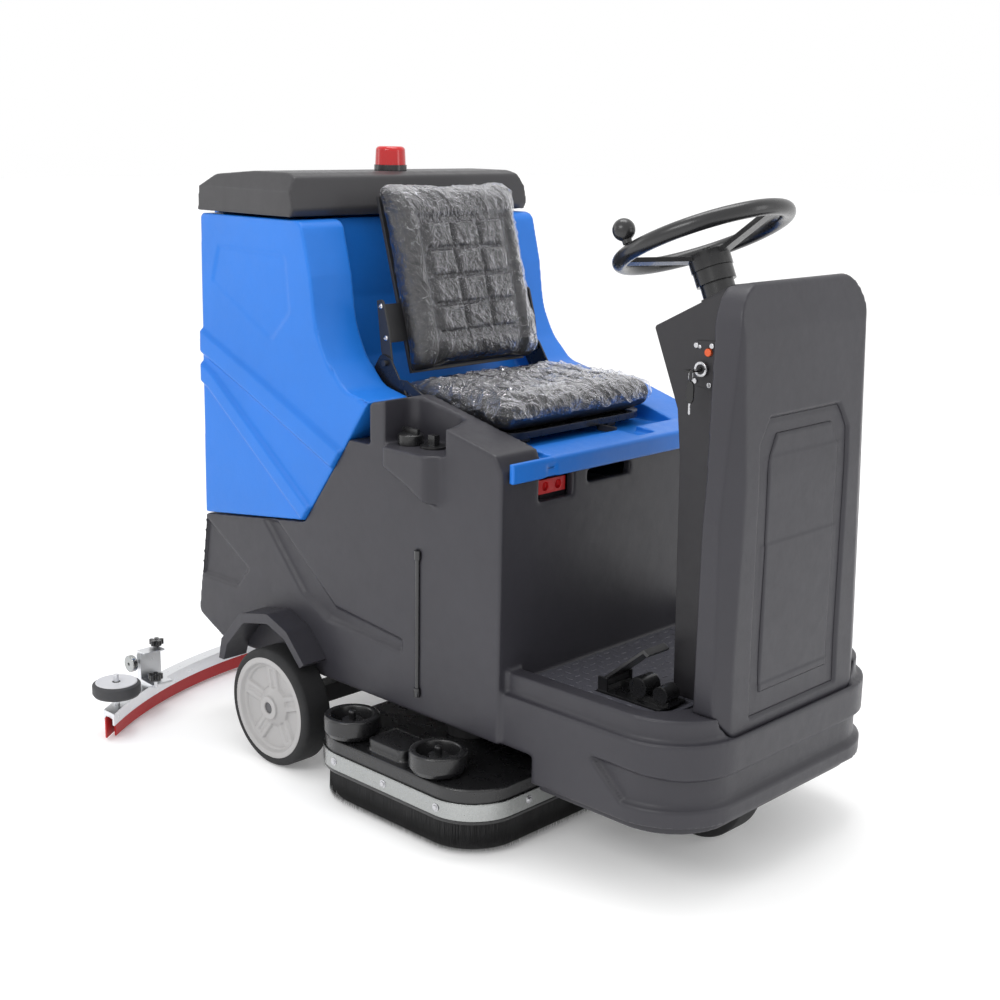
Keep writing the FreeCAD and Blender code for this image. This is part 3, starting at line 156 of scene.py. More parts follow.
BLUE = (0.012, 0.16, 0.6)
GREY = (0.031, 0.03, 0.037)
finishes = {
    "body": surface("body_plastic", GREY, 0.4, grain=0.45, grain_scale=420, wave=0.2, edge_wear_and_painted_light_tint=1.0, specular=0.4),
    "tank": surface("tank_plastic", BLUE, 0.36, tone=0.06, grain=0.3, grain_scale=420, wave=0.2,
                    edge_wear_and_painted_light_tint=0.35, edge_wear_and_painted_light=0.5, specular=0.35),
    "lid": surface("lid_plastic", (0.04, 0.039, 0.042), 0.4, grain=0.45, grain_scale=420, wave=0.16,
                   edge_wear_and_painted_light_tint=0.7, specular=0.35),
    "column": surface("column_plastic", (0.017, 0.016, 0.019), 0.5, grain=0.4, grain_scale=800),
    "gloss": surface("black_gloss", (0.01, 0.01, 0.011), 0.28, grain=0.12, wave=0.06, coat=0.2),
    "vinyl": surface("seat_vinyl", (0.02, 0.02, 0.022), 0.4, tone=0.14, grain=0.5, grain_scale=420,
                     wave=0.2, wave_scale=45, edge_wear_and_painted_light=0.4, edge=0.003),
    "rim": surface("rim_plastic", (0.37, 0.362, 0.36), 0.4, tone=0.04, grain=0.2, edge_wear_and_painted_light_tint=-0.25),
    "hub": surface("hub_plastic", (0.075, 0.075, 0.08), 0.42, grain=0.25),
    "tyre": surface("tyre_rubber", (0.008, 0.008, 0.009), 0.72, tone=0.2, grain=0.5, grain_scale=420,
                    edge_wear_and_painted_light=0.6, edge_wear_and_painted_light_tint=1.6),
    "rubber": surface("grey_rubber", (0.035, 0.035, 0.038), 0.6, tone=0.07, grain=0.4, edge_wear_and_painted_light_tint=0.6),
    "disc": surface("wheel_disc", (0.58, 0.58, 0.6), 0.42, tone=0.04, grain=0.2, edge_wear_and_painted_light_tint=-0.2),
    "paint": surface("frame_paint", (0.028, 0.028, 0.03), 0.36, grain=0.3, grain_scale=300, wave=0.2),
    "zinc": surface("zinc", (0.38, 0.39, 0.385), 0.26, metal=1.0, tone=0.1, grain=0.2, grain_scale=240,
                    edge_wear_and_painted_light_tint=0.25),
    "aluminium": surface("aluminium", (0.72, 0.73, 0.75), 0.3, metal=1.0, tone=0.05, grain=0.25,
                         grain_scale=300, stretch=(1.0, 0.05, 1.0), edge_wear_and_painted_light_tint=0.15),
    "steel": surface("steel", (0.56, 0.56, 0.58), 0.24, metal=1.0, tone=0.05, grain=0.12, edge_wear_and_painted_light_tint=0.2),
    "red_rubber": surface("red_rubber", (0.46, 0.012, 0.014), 0.48, tone=0.1, grain=0.3, edge_wear_and_painted_light_tint=0.4),
    "red_lens": surface("red_lens", (0.5, 0.004, 0.006), 0.14, tone=0.12, grain=0.04, wave=0.05,
                        coat=0.2, edge_wear_and_painted_light_tint=0.5),
    "red_plastic": surface("red_plastic", (0.5, 0.01, 0.012), 0.35, grain=0.2),
    "bristle": surface("bristle", (0.012, 0.012, 0.013), 0.62, tone=0.35, grain=0.3, edge_wear_and_painted_light=0.0),
    "orange": surface("orange_button", (0.7, 0.1, 0.02), 0.3, grain=0.1),
    "tread": surface("tread_paint", (0.07, 0.07, 0.085), 0.4, grain=0.45, grain_scale=380, edge_wear_and_painted_light=0.8,
                     edge_wear_and_painted_light_tint=1.4),
    "tube": surface("clear_tube", (0.012, 0.012, 0.014), 0.12, grain=0.05, coat=0.4, tone=0.2),
}


def film_material():
    """Clear wrapping film: see-through, with sharp gloss where it creases."""
    material = bpy.data.materials.new("wrap_film")
    material.use_nodes = True
    tree = material.node_tree
    tree.nodes.remove(tree.nodes["Principled BSDF"])
    place = add(tree, "TexCoord").outputs["Object"]
    gloss = add(tree, "BsdfGlossy", {"Color": (0.95, 0.95, 0.97, 1.0), "Roughness": 0.05})
    clear = add(tree, "BsdfTransparent", {"Color": (0.97, 0.97, 0.98, 1.0)})
    facing = add(tree, "LayerWeight", {"Blend": 0.32})
    geometry = add(tree, "NewGeometry")
    creased = bumped(tree, noise_in(tree, place, 48.0, 4.0, 0.62), geometry.outputs["Normal"], 1.0, 0.014)
    tree.links.new(creased, gloss.inputs["Normal"])
    tree.links.new(creased, facing.inputs["Normal"])
    mix = add(tree, "MixShader")
    tree.links.new(ranged(tree, facing.outputs["Facing"], 0.2, 0.9, 0.04, 0.95), mix.inputs["Fac"])
    tree.links.new(clear.outputs["BSDF"], mix.inputs[1])
    tree.links.new(gloss.outputs["BSDF"], mix.inputs[2])
    tree.links.new(mix.outputs["Shader"], tree.nodes["Material Output"].inputs["Surface"])
    return material


finishes["film"] = film_material()


# ---------------------------------------------------------------- mesh helpers

def made(name, mesh, finish, body):
    """A finished piece that rides on a CAD body."""
    piece = bpy.data.objects.new(name, mesh)
    bpy.context.scene.collection.objects.link(piece)
    mesh.materials.clear()
    mesh.materials.append(finishes[finish])
    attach(piece, body)
    return piece


def from_bmesh(name, work, finish, body, smooth=True):
    mesh = bpy.data.meshes.new(name)
    bmesh.ops.recalc_face_normals(work, faces=work.faces)
    work.to_mesh(mesh)
    work.free()
    if smooth:
        mesh.shade_smooth()
        mesh.set_sharp_from_angle(angle=math.radians(38))
    return made(name, mesh, finish, body)


def welded_copy(node):
    work = bmesh.new()
    work.from_mesh(nodes[node].data)
    bmesh.ops.remove_doubles(work, verts=work.verts, dist=1e-5)
    mesh = bpy.data.meshes.new(node + "_shell")
    work.to_mesh(mesh)
    work.free()
    return mesh


def settle(piece):
    """Makes the piece's modifiers part of its mesh."""
    depsgraph = bpy.context.evaluated_depsgraph_get()
    mesh = bpy.data.meshes.new_from_object(piece.evaluated_get(depsgraph))
    piece.modifiers.clear()
    piece.data = mesh
    return piece


def coordinates(piece):
    flat = np.zeros(len(piece.data.vertices) * 3, np.float32)
    piece.data.vertices.foreach_get("co", flat)
    return flat.reshape(-1, 3).astype(float)


def normals(piece):
    flat = np.zeros(len(piece.data.vertices) * 3, np.float32)
    piece.data.vertices.foreach_get("normal", flat)
    return flat.reshape(-1, 3).astype(float)


def move_to(piece, points):
    piece.data.vertices.foreach_set("co", points.astype(np.float32).ravel())
    piece.data.update()


def remeshed(piece, voxel, rounds):
    """The same form in even quads, with its edges softened as a mould leaves them."""
    modifier = piece.modifiers.new("even", "REMESH")
    modifier.mode = "VOXEL"
    modifier.voxel_size = voxel
    modifier.use_smooth_shade = True
    soften = piece.modifiers.new("soften", "SMOOTH")
    soften.factor = 0.5
    soften.iterations = rounds
    return settle(piece)


def depth_in(points, corners, half=None):
    """How far points lie inside an outline, or within half of an open line; negative outside."""
    corners = [np.array(corner, float) * MM for corner in corners]
    ends = corners[1:] if half else corners[1:] + corners[:1]
    nearest = np.full(len(points), 1e9)
    inside = np.zeros(len(points), bool)
    for a, b in zip(corners, ends):
        edge = b - a
        along = np.clip(((points - a) @ edge) / (edge @ edge), 0, 1)
        nearest = np.minimum(nearest, np.linalg.norm(points - a - along[:, None] * edge, axis=1))
        if abs(edge[1]) > 1e-9:
            crossing = (a[1] > points[:, 1]) != (b[1] > points[:, 1])
            at = a[0] + (points[:, 1] - a[1]) * edge[0] / edge[1]
            inside ^= crossing & (points[:, 0] < at)
    if half:
        return half * MM - nearest
    return np.where(inside, nearest, -nearest)


def smooth_step(values):
    share = np.clip(values, 0, 1)
    return share * share * (3 - 2 * share)


def emboss(piece, axis, beyond, shapes, facing=0.7):
    """Raises (height over 0) or sinks shapes in the sides that face along an axis, both ways."""
    points, outward = coordinates(piece), normals(piece)
    plane = [index for index in range(3) if index != axis]
    turned = np.abs(outward[:, axis]) > facing
    outer = np.sign(points[:, axis]) * outward[:, axis] > 0
    chosen = turned & outer & (np.abs(points[:, axis]) > beyond * MM)
    flat = points[chosen][:, plane]
    lift = np.zeros(len(flat))
    for corners, height, slope, half in shapes:
        lift += height * MM * smooth_step(depth_in(flat, corners, half) / (slope * MM) + 0.5)
    points[chosen, axis] += np.sign(points[chosen, axis]) * lift
    move_to(piece, points)


def bumper_groove(piece):
    """Sinks the band that runs round the front platform, above its flared foot."""
    points, outward = coordinates(piece) / MM, normals(piece)
    flat = outward * (1, 1, 0)
    flat /= np.maximum(np.linalg.norm(flat, axis=1, keepdims=True), 1e-9)
    steep = np.linalg.norm(outward[:, :2], axis=1) > 0.75
    faces_out = (flat[:, 0] * (points[:, 0] - 560) + flat[:, 1] * points[:, 1]) > 0
    outside = (np.abs(points[:, 1]) > 300) | (points[:, 0] > 740)
    start = np.clip((points[:, 0] - 596) / 74, 0, 1)
    foot = 251 - 64 * start
    head = 251 - 10 * np.clip((points[:, 0] - 660) / 120, 0, 1)
    depth = np.minimum(np.minimum(points[:, 2] - foot, head - points[:, 2]), (points[:, 0] - 600) * 0.7)
    sink = 13 * smooth_step(depth / 9 + 0.5) * (steep & faces_out & outside)
    move_to(piece, (points - flat * sink[:, None]) * MM)


def moulded(node, finish, voxel, rounds, shapes=(), axis=1, beyond=0):
    """A CAD shell as it comes from its mould: soft edges and embossed shapes."""
    piece = made(node + "_shell", welded_copy(node), finish, node_body[node])
    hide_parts(node)
    remeshed(piece, voxel * MM, rounds)
    if shapes:
        emboss(piece, axis, beyond, shapes)
    piece.data.materials.clear()
    piece.data.materials.append(finishes[finish])
    return piece


# ---------------------------------------------------------------- carried-over CAD nodes

CARRIED = {
    "gloss": ["steering_wheel", "steering_shaft", "spinner_knob", "filler_cap", "valve_knob",
              "recline_lever", "beacon_base", "ignition_key", "star_knobs", "drive_hub", "pedal_base", "seat_pan"],
    "column": ["dash_column", "dash_plates"],
    "body": ["rear_fenders", "batteries"],
    "tyre": ["rear_tyre_left", "rear_tyre_right", "drive_tyre"],
    "rubber": ["guide_wheel_left", "guide_wheel_right"],
    "paint": ["chassis_frame", "back_frame", "slide_lever", "steer_fork", "steering_column", "squeegee_arm",
              "lift_actuator", "accelerator_treadle", "brake_pedal", "brush_motors", "vacuum_motor"],
    "zinc": ["deck_band", "caster_left", "caster_right"],
    "aluminium": ["squeegee_channel"],
    "steel": ["cover_screws"],
    "red_rubber": ["squeegee_blades"],
    "red_lens": ["beacon_lens"],
    "red_plastic": ["charge_connector"],
    "bristle": ["brush_left", "brush_right"],
    "orange": ["dash_button"],
    "tread": ["floor_plate"],
    "tube": ["level_tube"],
}


def dress(node, finish):
    """Gives a CAD node its finish, and smooth shading on its round faces."""
    piece = nodes[node]
    piece.data.materials.clear()
    piece.data.materials.append(finishes[finish])
    piece.data.shade_smooth()
    weld = piece.modifiers.new("weld", "WELD")
    weld.merge_threshold = 1e-5
    split = piece.modifiers.new("sharp_edges", "EDGE_SPLIT")
    split.split_angle = math.radians(32)


for finish_name, names in CARRIED.items():
    for node_name in names:
        dress(node_name, finish_name)


# ---------------------------------------------------------------- moulded shells

tank_shapes = [
    ([(-600, 905), (-387, 818), (-94, 690)], 9, 10, 24),
    ([(-620, 850), (-521, 800), (-198, 559)], 9, 10, 20),
    ([(-182, 1190), (-161, 948), (-115, 872), (20, 800), (200, 900), (0, 1190)], -7, 9, None),
]
body_shapes = [
    ([(-640, 480), (-560, 478), (-409, 392), (-450, 345), (-640, 345)], -9, 10, None),
    ([(-345, 520), (-300, 520), (-110, 372), (96, 350), (96, 326), (-135, 340), (-215, 380)], -10, 10, None),
]
shroud_shapes = [
    ([(-140, 330), (140, 330), (140, 830), (110, 876), (-110, 876), (-140, 830)], -8, 9, None),
    ([(-112, 370), (112, 370), (112, 800), (88, 846), (-88, 846), (-112, 800)], 9, 8, None),
]
moulded("recovery_tank", "tank", 3.5, 4, tank_shapes, axis=1, beyond=300)
body_shell = moulded("lower_body", "body", 4.0, 4, body_shapes, axis=1, beyond=330)
bumper_groove(body_shell)
moulded("front_shroud", "body", 3.0, 4, shroud_shapes, axis=0, beyond=760)
moulded("tank_lid", "lid", 3.0, 5)
moulded("deck_housing", "gloss", 3.0, 3)
moulded("seat_deck", "tank", 3.0, 3)
for side in ("front_left", "front_right", "rear_left", "rear_right"):
    dress("guide_roller_" + side, "gloss")


# ---------------------------------------------------------------- seat cushions

def cushion(node, rounding, shrink, reach, detail):
    """A foam cushion blown up from the CAD solid by a cloth simulation."""
    piece = made(node + "_foam", welded_copy(node), "vinyl", node_body[node])
    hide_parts(node)
    low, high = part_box(node)
    middle = np.array((low + high) / 2)
    piece.data.transform(Matrix.Translation(middle) @ Matrix.Scale(shrink, 4) @ Matrix.Translation(-middle))
    remeshed(piece, 5 * MM, rounding)
    rest = coordinates(piece)
    cloth = piece.modifiers.new("stuffing", "CLOTH")
    cloth.settings.use_pressure = True
    cloth.settings.uniform_pressure_force = 4
    cloth.settings.effector_weights.gravity = 0
    cloth.settings.quality = 6
    for step in range(1, 21):
        bpy.context.scene.frame_set(step)
    settle(piece)
    bpy.context.scene.frame_set(1)
    moved = coordinates(piece) - rest
    length = np.linalg.norm(moved, axis=1, keepdims=True)
    rest = rest + moved * np.minimum(1.0, reach * MM / np.maximum(length, 1e-9))
    move_to(piece, rest)
    calm = piece.modifiers.new("calm", "SMOOTH")
    calm.factor = 0.5
    calm.iterations = 10
    settle(piece)
    points = coordinates(piece)
    for index in range(3):
        points[:, index] = np.interp(points[:, index], [points[:, index].min(), points[:, index].max()],
                                     [low[index], high[index]])
    move_to(piece, points)
    subdivide = piece.modifiers.new("fine", "SUBSURF")
    subdivide.levels = subdivide.render_levels = detail
    settle(piece)
    piece.data.materials.clear()
    piece.data.materials.append(finishes["vinyl"])
    piece.data.shade_smooth()
    return piece


def pillows(across, along, half, low, high, columns, rows, gap):
    """Height of a panel of soft blocks between sewn channels, from 0 in a channel to 1."""
    wide = 2 * half / columns
    tall = (high - low) / rows
    in_column = np.abs((across + half) % wide - wide / 2)
    in_row = np.abs((along - low) % tall - tall / 2)
    edge = np.minimum(wide / 2 - in_column, tall / 2 - in_row) - gap / 2
    panel = np.minimum(half - np.abs(across), np.minimum(along - low, high - along))
    return smooth_step(edge / 7 + 0.4) * (panel > 0)


LEAN = math.radians(16.4)
BACK_FOOT = np.array([-6.0, 0.0, 868.0])


def quilt_back(piece):
    points, outward = coordinates(piece) / MM, normals(piece)
    up = np.array([-math.sin(LEAN), 0, math.cos(LEAN)])
    out = np.array([math.cos(LEAN), 0, math.sin(LEAN)])
    along = (points - BACK_FOOT) @ up
    across = points[:, 1]
    front = outward @ out
    field = np.minimum(132 - np.abs(across), np.minimum(along - 8, 322 - along))
    sunk = -9 * smooth_step(field / 14 + 0.5)
    blocks = 9 * pillows(across, along, 117, 75, 309, 3, 4, 10)
    pad = 8 * smooth_step(np.minimum(118 - np.abs(across), np.minimum(along - 14, 66 - along)) / 12)
    lift = (sunk + blocks + pad) * smooth_step((front - 0.3) / 0.4)
    move_to(piece, (points + out * lift[:, None]) * MM)


def quilt_seat(piece):
    low, high = (np.array(corner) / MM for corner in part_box("seat_cushion"))
    points, outward = coordinates(piece) / MM, normals(piece)
    along = points[:, 0] - low[0]
    across = points[:, 1]
    length = high[0] - low[0]
    field = np.minimum(150 - np.abs(across), np.minimum(along - 40, length - 70 - along))
    sunk = -8 * smooth_step(field / 16 + 0.5)
    blocks = 8 * pillows(across, along, 138, 52, length - 82, 4, 3, 10)
    lift = (sunk + blocks) * smooth_step((outward[:, 2] - 0.3) / 0.4)
    points[:, 2] += lift
    move_to(piece, points * MM)


back_foam = cushion("back_cushion", 60, 0.96, 9, 2)
quilt_back(back_foam)
seat_foam = cushion("seat_cushion", 20, 0.96, 9, 1)
quilt_seat(seat_foam)


def wrap(foam, name, body, up, crumple, seed, axis):
    """Clear film over a cushion. It bridges the channels, crumples in sharp folds, and ends short of the
    other cushion, at the low end of an axis."""
    piece = made(name, foam.data.copy(), "film", body)
    bridge = piece.modifiers.new("bridge", "SMOOTH")
    bridge.factor = 0.5
    bridge.iterations = 16
    settle(piece)
    outward = normals(piece)
    points = coordinates(piece)
    end = points[:, axis].min()
    bare = (outward @ np.array(up) < -0.35) | (points[:, axis] < end + 16 * MM)
    for index, point in enumerate(points):
        place = Vector(point) * 17 + Vector((seed, 0, 0))
        warp = noise.noise_vector(place * 0.6) * 1.1
        ridge = 1 - abs(noise.noise(place + warp)) * 4
        small = 1 - abs(noise.noise(place * 2.7 + warp)) * 4
        room = min(1.0, (point[axis] - end) / (70 * MM))
        lift = 1.2 + room * (1 + crumple * (0.7 * max(ridge, 0) ** 2 + 0.3 * max(small, 0) ** 2))
        points[index] = point + outward[index] * lift * MM
    move_to(piece, points)
    work = bmesh.new()
    work.from_mesh(piece.data)
    bmesh.ops.delete(work, geom=[corner for corner in work.verts if bare[corner.index]], context="VERTS")
    work.to_mesh(piece.data)
    work.free()
    piece.data.materials.clear()
    piece.data.materials.append(finishes["film"])
    return piece


back_film = wrap(back_foam, "back_film", "seat_back", Vector((math.cos(LEAN), 0, math.sin(LEAN))), 4, 3, 2)
seat_film = wrap(seat_foam, "seat_film", "seat", Vector((0, 0, 1)), 9, 11, 0)


# ---------------------------------------------------------------- wheels

def rim(side, sign):
    """A rear rim with five pockets between double spokes, and a grey cap."""
    node = "rear_rim_" + side
    piece = made(node + "_moulding", welded_copy(node), "rim", node_body[node])
    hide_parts(node)
    low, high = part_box(node)
    middle = (low + high) / 2
    remeshed(piece, 1.6 * MM, 2)
    points, outward = coordinates(piece) / MM, normals(piece)
    face = (outward[:, 1] * sign > 0.6) & (points[:, 1] * sign > (abs(middle.y) / MM + 8))
    across = points[:, 0] - middle.x / MM
    upward = points[:, 2] - middle.z / MM
    radius = np.hypot(across, upward)
    angle = np.arctan2(upward, across)
    fifth = 2 * math.pi / 5
    turn = np.abs((angle - 0.35) % fifth - fifth / 2)
    from_spoke = radius * np.sin(fifth / 2 - turn)
    pocket = np.minimum(np.minimum(radius - 44, 90 - radius), from_spoke - 17)
    groove = np.minimum(np.minimum(radius - 42, 84 - radius), 5 - from_spoke)
    sink = 6 * smooth_step(pocket / 4 + 0.5) + 3 * smooth_step(groove / 3 + 0.5)
    points[:, 1] -= sign * sink * face
    move_to(piece, points * MM)
    piece.data.materials.clear()
    piece.data.materials.append(finishes["rim"])
    face_at = (high.y if sign > 0 else low.y)
    lathe("rim_cap_" + side, [(0, -3), (21, -3), (24.5, -1), (25, 2), (24, 4), (20, 5.2), (0, 5.6)],
          (middle.x, face_at - sign * 9 * MM, middle.z), "hub", node_body[node], Vector((0, sign, 0)), 48)


def lathe(name, profile, at, finish, body, up=Vector((0, 0, 1)), steps=32):
    """A turned piece from radius and height points in mm."""
    work = bmesh.new()
    rings = []
    for radius, height in profile:
        count = steps if radius else 1
        rings.append([work.verts.new(Vector((radius * math.cos(2 * math.pi * step / steps),
                                             radius * math.sin(2 * math.pi * step / steps), height)) * MM)
                      for step in range(count)])
    for below, above in zip(rings, rings[1:]):
        for step in range(steps):
            corners = [below[step % len(below)], below[(step + 1) % len(below)],
                       above[(step + 1) % len(above)], above[step % len(above)]]
            corners = [vertex for index, vertex in enumerate(corners) if vertex not in corners[:index]]
            if len(corners) > 2:
                work.faces.new(corners)
    turn = Vector((0, 0, 1)).rotation_difference(up).to_matrix().to_4x4()
    work.transform(Matrix.Translation(at) @ turn)
    return from_bmesh(name, work, finish, body)


rim("left", 1)
rim("right", -1)


# ---------------------------------------------------------------- screws, bolts and plates

def bolt(name, at, up, radius, height, finish, body, flat=6):
    """A hexagon bolt on a washer, with a chamfered head."""
    work = bmesh.new()
    profile = [(1.5, 0, 24), (1.5, 0.25, 24), (1.0, 0.25, flat), (1.0, 0.85, flat), (0.86, 1.0, flat)]
    loops = []
    for share, lift, sides in profile:
        loops.append([work.verts.new((radius * share * math.cos(2 * math.pi * side / sides),
                                      radius * share * math.sin(2 * math.pi * side / sides), height * lift))
                      for side in range(sides)])
    for lower, upper in ((loops[0], loops[1]), (loops[2], loops[3]), (loops[3], loops[4])):
        for index in range(len(lower)):
            after = (index + 1) % len(lower)
            work.faces.new((lower[index], lower[after], upper[after], upper[index]))
    for loop in (loops[0], loops[1], loops[4]):
        work.faces.new(loop)
    turn = Vector((0, 0, 1)).rotation_difference(Vector(up)).to_matrix().to_4x4()
    work.transform(Matrix.Scale(MM, 4))
    work.transform(Matrix.Translation(at) @ turn)
    return from_bmesh(name, work, finish, body, smooth=False)


def band_bolts():
    low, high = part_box("deck_band")
    height = (low.z + high.z) / 2
    middle = (low.x + high.x) / 2
    for side in (-1, 1):
        edge = high.y if side > 0 else low.y
        for number, along in enumerate((-0.15, 0.0, 0.15)):
            bolt("band_bolt_%d_%d" % (number, side + 1), (middle + along, edge, height), (0, side, 0), 5.5, 4,
                 "steel", "scrub_deck")
    for number, across in enumerate((-0.3, -0.1, 0.1, 0.3)):
        bolt("band_bolt_front_%d" % number, (high.x, across, height), (1, 0, 0), 5.5, 4, "steel", "scrub_deck")
        bolt("band_bolt_rear_%d" % number, (low.x, across, height), (-1, 0, 0), 5.5, 4, "steel", "scrub_deck")


def roller_bolts():
    for place in ("front_left", "front_right", "rear_left", "rear_right"):
        node = "guide_roller_" + place
        low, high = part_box(node)
        at = Vector(((low.x + high.x) / 2, (low.y + high.y) / 2, high.z - 17 * MM))
        bolt("roller_bolt_" + place, at, (0, 0, 1), 7.5, 8, "steel", node_body[node])


def tread_dashes():
    """The floor plate's raised dashes, turned this way and that."""
    low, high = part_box("floor_plate")
    work = bmesh.new()
    pitch, long, wide, tall = 24 * MM, 9 * MM, 2.1 * MM, 1.1 * MM
    columns = int((high.x - low.x) / pitch)
    rows = int((high.y - low.y) / pitch)
    for column in range(columns):
        for row in range(rows):
            centre = Vector((low.x + (column + 0.5) * pitch, low.y + (row + 0.5) * pitch, high.z))
            turn = math.pi / 2 * ((column + row) % 2)
            corners = [(-1, 0), (-0.55, -1), (0.55, -1), (1, 0), (0.55, 1), (-0.55, 1)]
            lower, upper = [], []
            for x, y in corners:
                flat = Vector((x * long, y * wide, 0))
                flat.rotate(Matrix.Rotation(turn, 3, "Z"))
                lower.append(work.verts.new(centre + flat))
                upper.append(work.verts.new(centre + flat * 0.72 + Vector((0, 0, tall))))
            work.faces.new(upper)
            for index in range(6):
                after = (index + 1) % 6
                work.faces.new((lower[index], lower[after], upper[after], upper[index]))
    from_bmesh("tread_dashes", work, "tread", "chassis", smooth=False)


def hoop(name, centre, radius, wire, up, finish, body):
    """A wire ring."""
    profile = [(radius + wire * math.cos(turn * math.pi / 4), wire * math.sin(turn * math.pi / 4))
               for turn in range(9)]
    return lathe(name, profile, centre, finish, body, up, 36)


def slab(name, corners, thickness, chamfer, centre, turn, finish, body):
    """A flat piece from its outline in mm, with chamfered edges."""
    work = bmesh.new()
    middle = sum((Vector(corner) for corner in corners), Vector((0, 0))) / len(corners)
    loops = []
    for height, inward in ((-thickness / 2, chamfer), (-thickness / 2 + chamfer, 0),
                           (thickness / 2 - chamfer, 0), (thickness / 2, chamfer)):
        loop = []
        for corner in corners:
            away = Vector(corner) - middle
            flat = middle + away * max(0.0, 1 - inward / max(away.length, 1e-6))
            loop.append(work.verts.new((flat.x, flat.y, height)))
        loops.append(loop)
    for lower, upper in zip(loops, loops[1:]):
        for index in range(len(corners)):
            after = (index + 1) % len(corners)
            work.faces.new((lower[index], lower[after], upper[after], upper[index]))
    work.faces.new(loops[0])
    work.faces.new(loops[-1])
    work.transform(Matrix.Scale(MM, 4))
    work.transform(Matrix.Translation(centre) @ turn)
    return from_bmesh(name, work, finish, body)


UPRIGHT = Matrix.Rotation(math.pi / 2, 4, "X")
SCREW = [(0, 0), (4, 0), (4, 0.8), (3.3, 1.7), (1.6, 2.2), (1.5, 1.2), (0, 1.2)]


def key_set():
    """The switch's bright ring, the plate's screws, and the spare key that hangs from the ring."""
    barrel = Vector((655 * MM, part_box("dash_plates")[0].y, 947 * MM))
    right = Vector((0, -1, 0))
    lathe("switch_ring", [(9, -4), (13.6, -4), (14, 0), (12.6, 1), (11, 0.4), (9, 0.2), (9, -4)], barrel, "steel",
          "chassis", right, 40)
    for number, (x, z) in enumerate(((647, 986), (640, 925), (672, 920))):
        lathe("plate_screw_%d" % number, SCREW, (x * MM, -132.2 * MM, z * MM), "steel", "chassis", right, 20)
    low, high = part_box("ignition_key")
    loop = Vector(((low.x + high.x) / 2, low.y + 8 * MM, 939 * MM))
    hoop("key_ring", loop, 9.5, 0.8, Vector((1, 0.25, 0)), "steel", "key")
    fob = [(-6, 0), (-7.5, -8), (-7, -30), (-4, -36), (4, -36), (7, -30), (7.5, -8), (6, 0), (3, 4), (-3, 4)]
    hang = Matrix.Rotation(0.35, 4, "Z") @ UPRIGHT
    slab("spare_key_bow", fob, 5, 1.2, loop + Vector((0, 0, -14 * MM)), hang, "gloss", "key")
    blade = [(-2.2, 0), (-2.2, -19), (-0.5, -22), (2.2, -20), (2.2, -15), (1.4, -13), (2.2, -11), (1.2, -8), (2.2, 0)]
    slab("spare_key_blade", blade, 1.8, 0.3, loop + Vector((0, 0, -49 * MM)), hang, "steel", "key")


def bracket_screws():
    """Two bright screws in each of the seat back's straps."""
    up = np.array([-math.sin(LEAN), 0, math.cos(LEAN)])
    out = np.array([math.cos(LEAN), 0, math.sin(LEAN)])
    pivot = np.array([-81.0, 0, 880.0])
    for side in (-1, 1):
        for number, (across, along) in enumerate(((10, 50), (13, 116))):
            at = (pivot + out * across + up * along + (0, side * 221.4, 0)) * MM
            lathe("back_screw_%d_%d" % (side + 1, number), [(0, 0), (6, 0), (6, 1), (5, 2.4), (2.6, 3.2), (2.4, 1.6), (0, 1.6)],
                  Vector(at), "steel", "seat_back", Vector((0, side, 0)), 24)


def guide_discs():
    """The pale discs in the top of the squeegee's dark guide wheels."""
    for side in ("left", "right"):
        node = "guide_wheel_" + side
        low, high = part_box(node)
        top = Vector(((low.x + high.x) / 2, (low.y + high.y) / 2, high.z))
        profile = [(9.5, -1), (9.5, 0.8), (40, 0.8), (43, 1.6), (45.5, 1.6), (46.5, 0.4), (46.5, -1)]
        lathe("guide_disc_" + side, profile, top, "disc", node_body[node], Vector((0, 0, 1)), 64)


def strip_round(name, node, depth, radius, section, finish, body):
    """A strip that runs round the deck, from its section in mm: outwards, then up."""
    low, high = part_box(node)
    inner = (low.x + depth * MM, low.y + depth * MM)
    outer = (high.x - depth * MM, high.y - depth * MM)
    work = bmesh.new()
    loops = [[work.verts.new(place + out * across * MM + Vector((0, 0, up * MM))) for across, up in section]
             for place, out in rounded_loop(inner, outer, radius * MM, 9 * MM)]
    for first, second in zip(loops, loops[1:] + loops[:1]):
        for index in range(len(section)):
            after = (index + 1) % len(section)
            work.faces.new((first[index], first[after], second[after], second[index]))
    return from_bmesh(name, work, finish, body)


def deck_trim():
    """The rubber bead under the band, and the band's own rolled edge."""
    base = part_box("deck_band")[0].z / MM
    bead = [(-3, base - 8), (2.5, base - 8), (4, base - 6), (4, base - 2), (2.5, base - 0.3), (-3, base - 0.3)]
    strip_round("skirt_bead", "deck_band", 4, 104, bead, "gloss", "scrub_deck")
    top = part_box("deck_band")[1].z / MM
    roll = [(-2.4, top - 2.2), (0.6, top - 2.2), (1.2, top - 1), (0.6, top + 0.4), (-2.4, top + 0.4)]
    strip_round("band_roll", "deck_band", 0.6, 105, roll, "zinc", "scrub_deck")


band_bolts()
roller_bolts()
tread_dashes()
key_set()
bracket_screws()
guide_discs()


# ---------------------------------------------------------------- bristles

def strand(work, foot, tip, radius):
    """One bristle: a thin three-sided spike."""
    ring = [work.verts.new(foot + Vector((math.cos(angle), math.sin(angle), 0)) * radius)
            for angle in (0, 2.094, 4.189)]
    end = work.verts.new(tip)
    for index in range(3):
        work.faces.new((ring[index], ring[(index + 1) % 3], end))


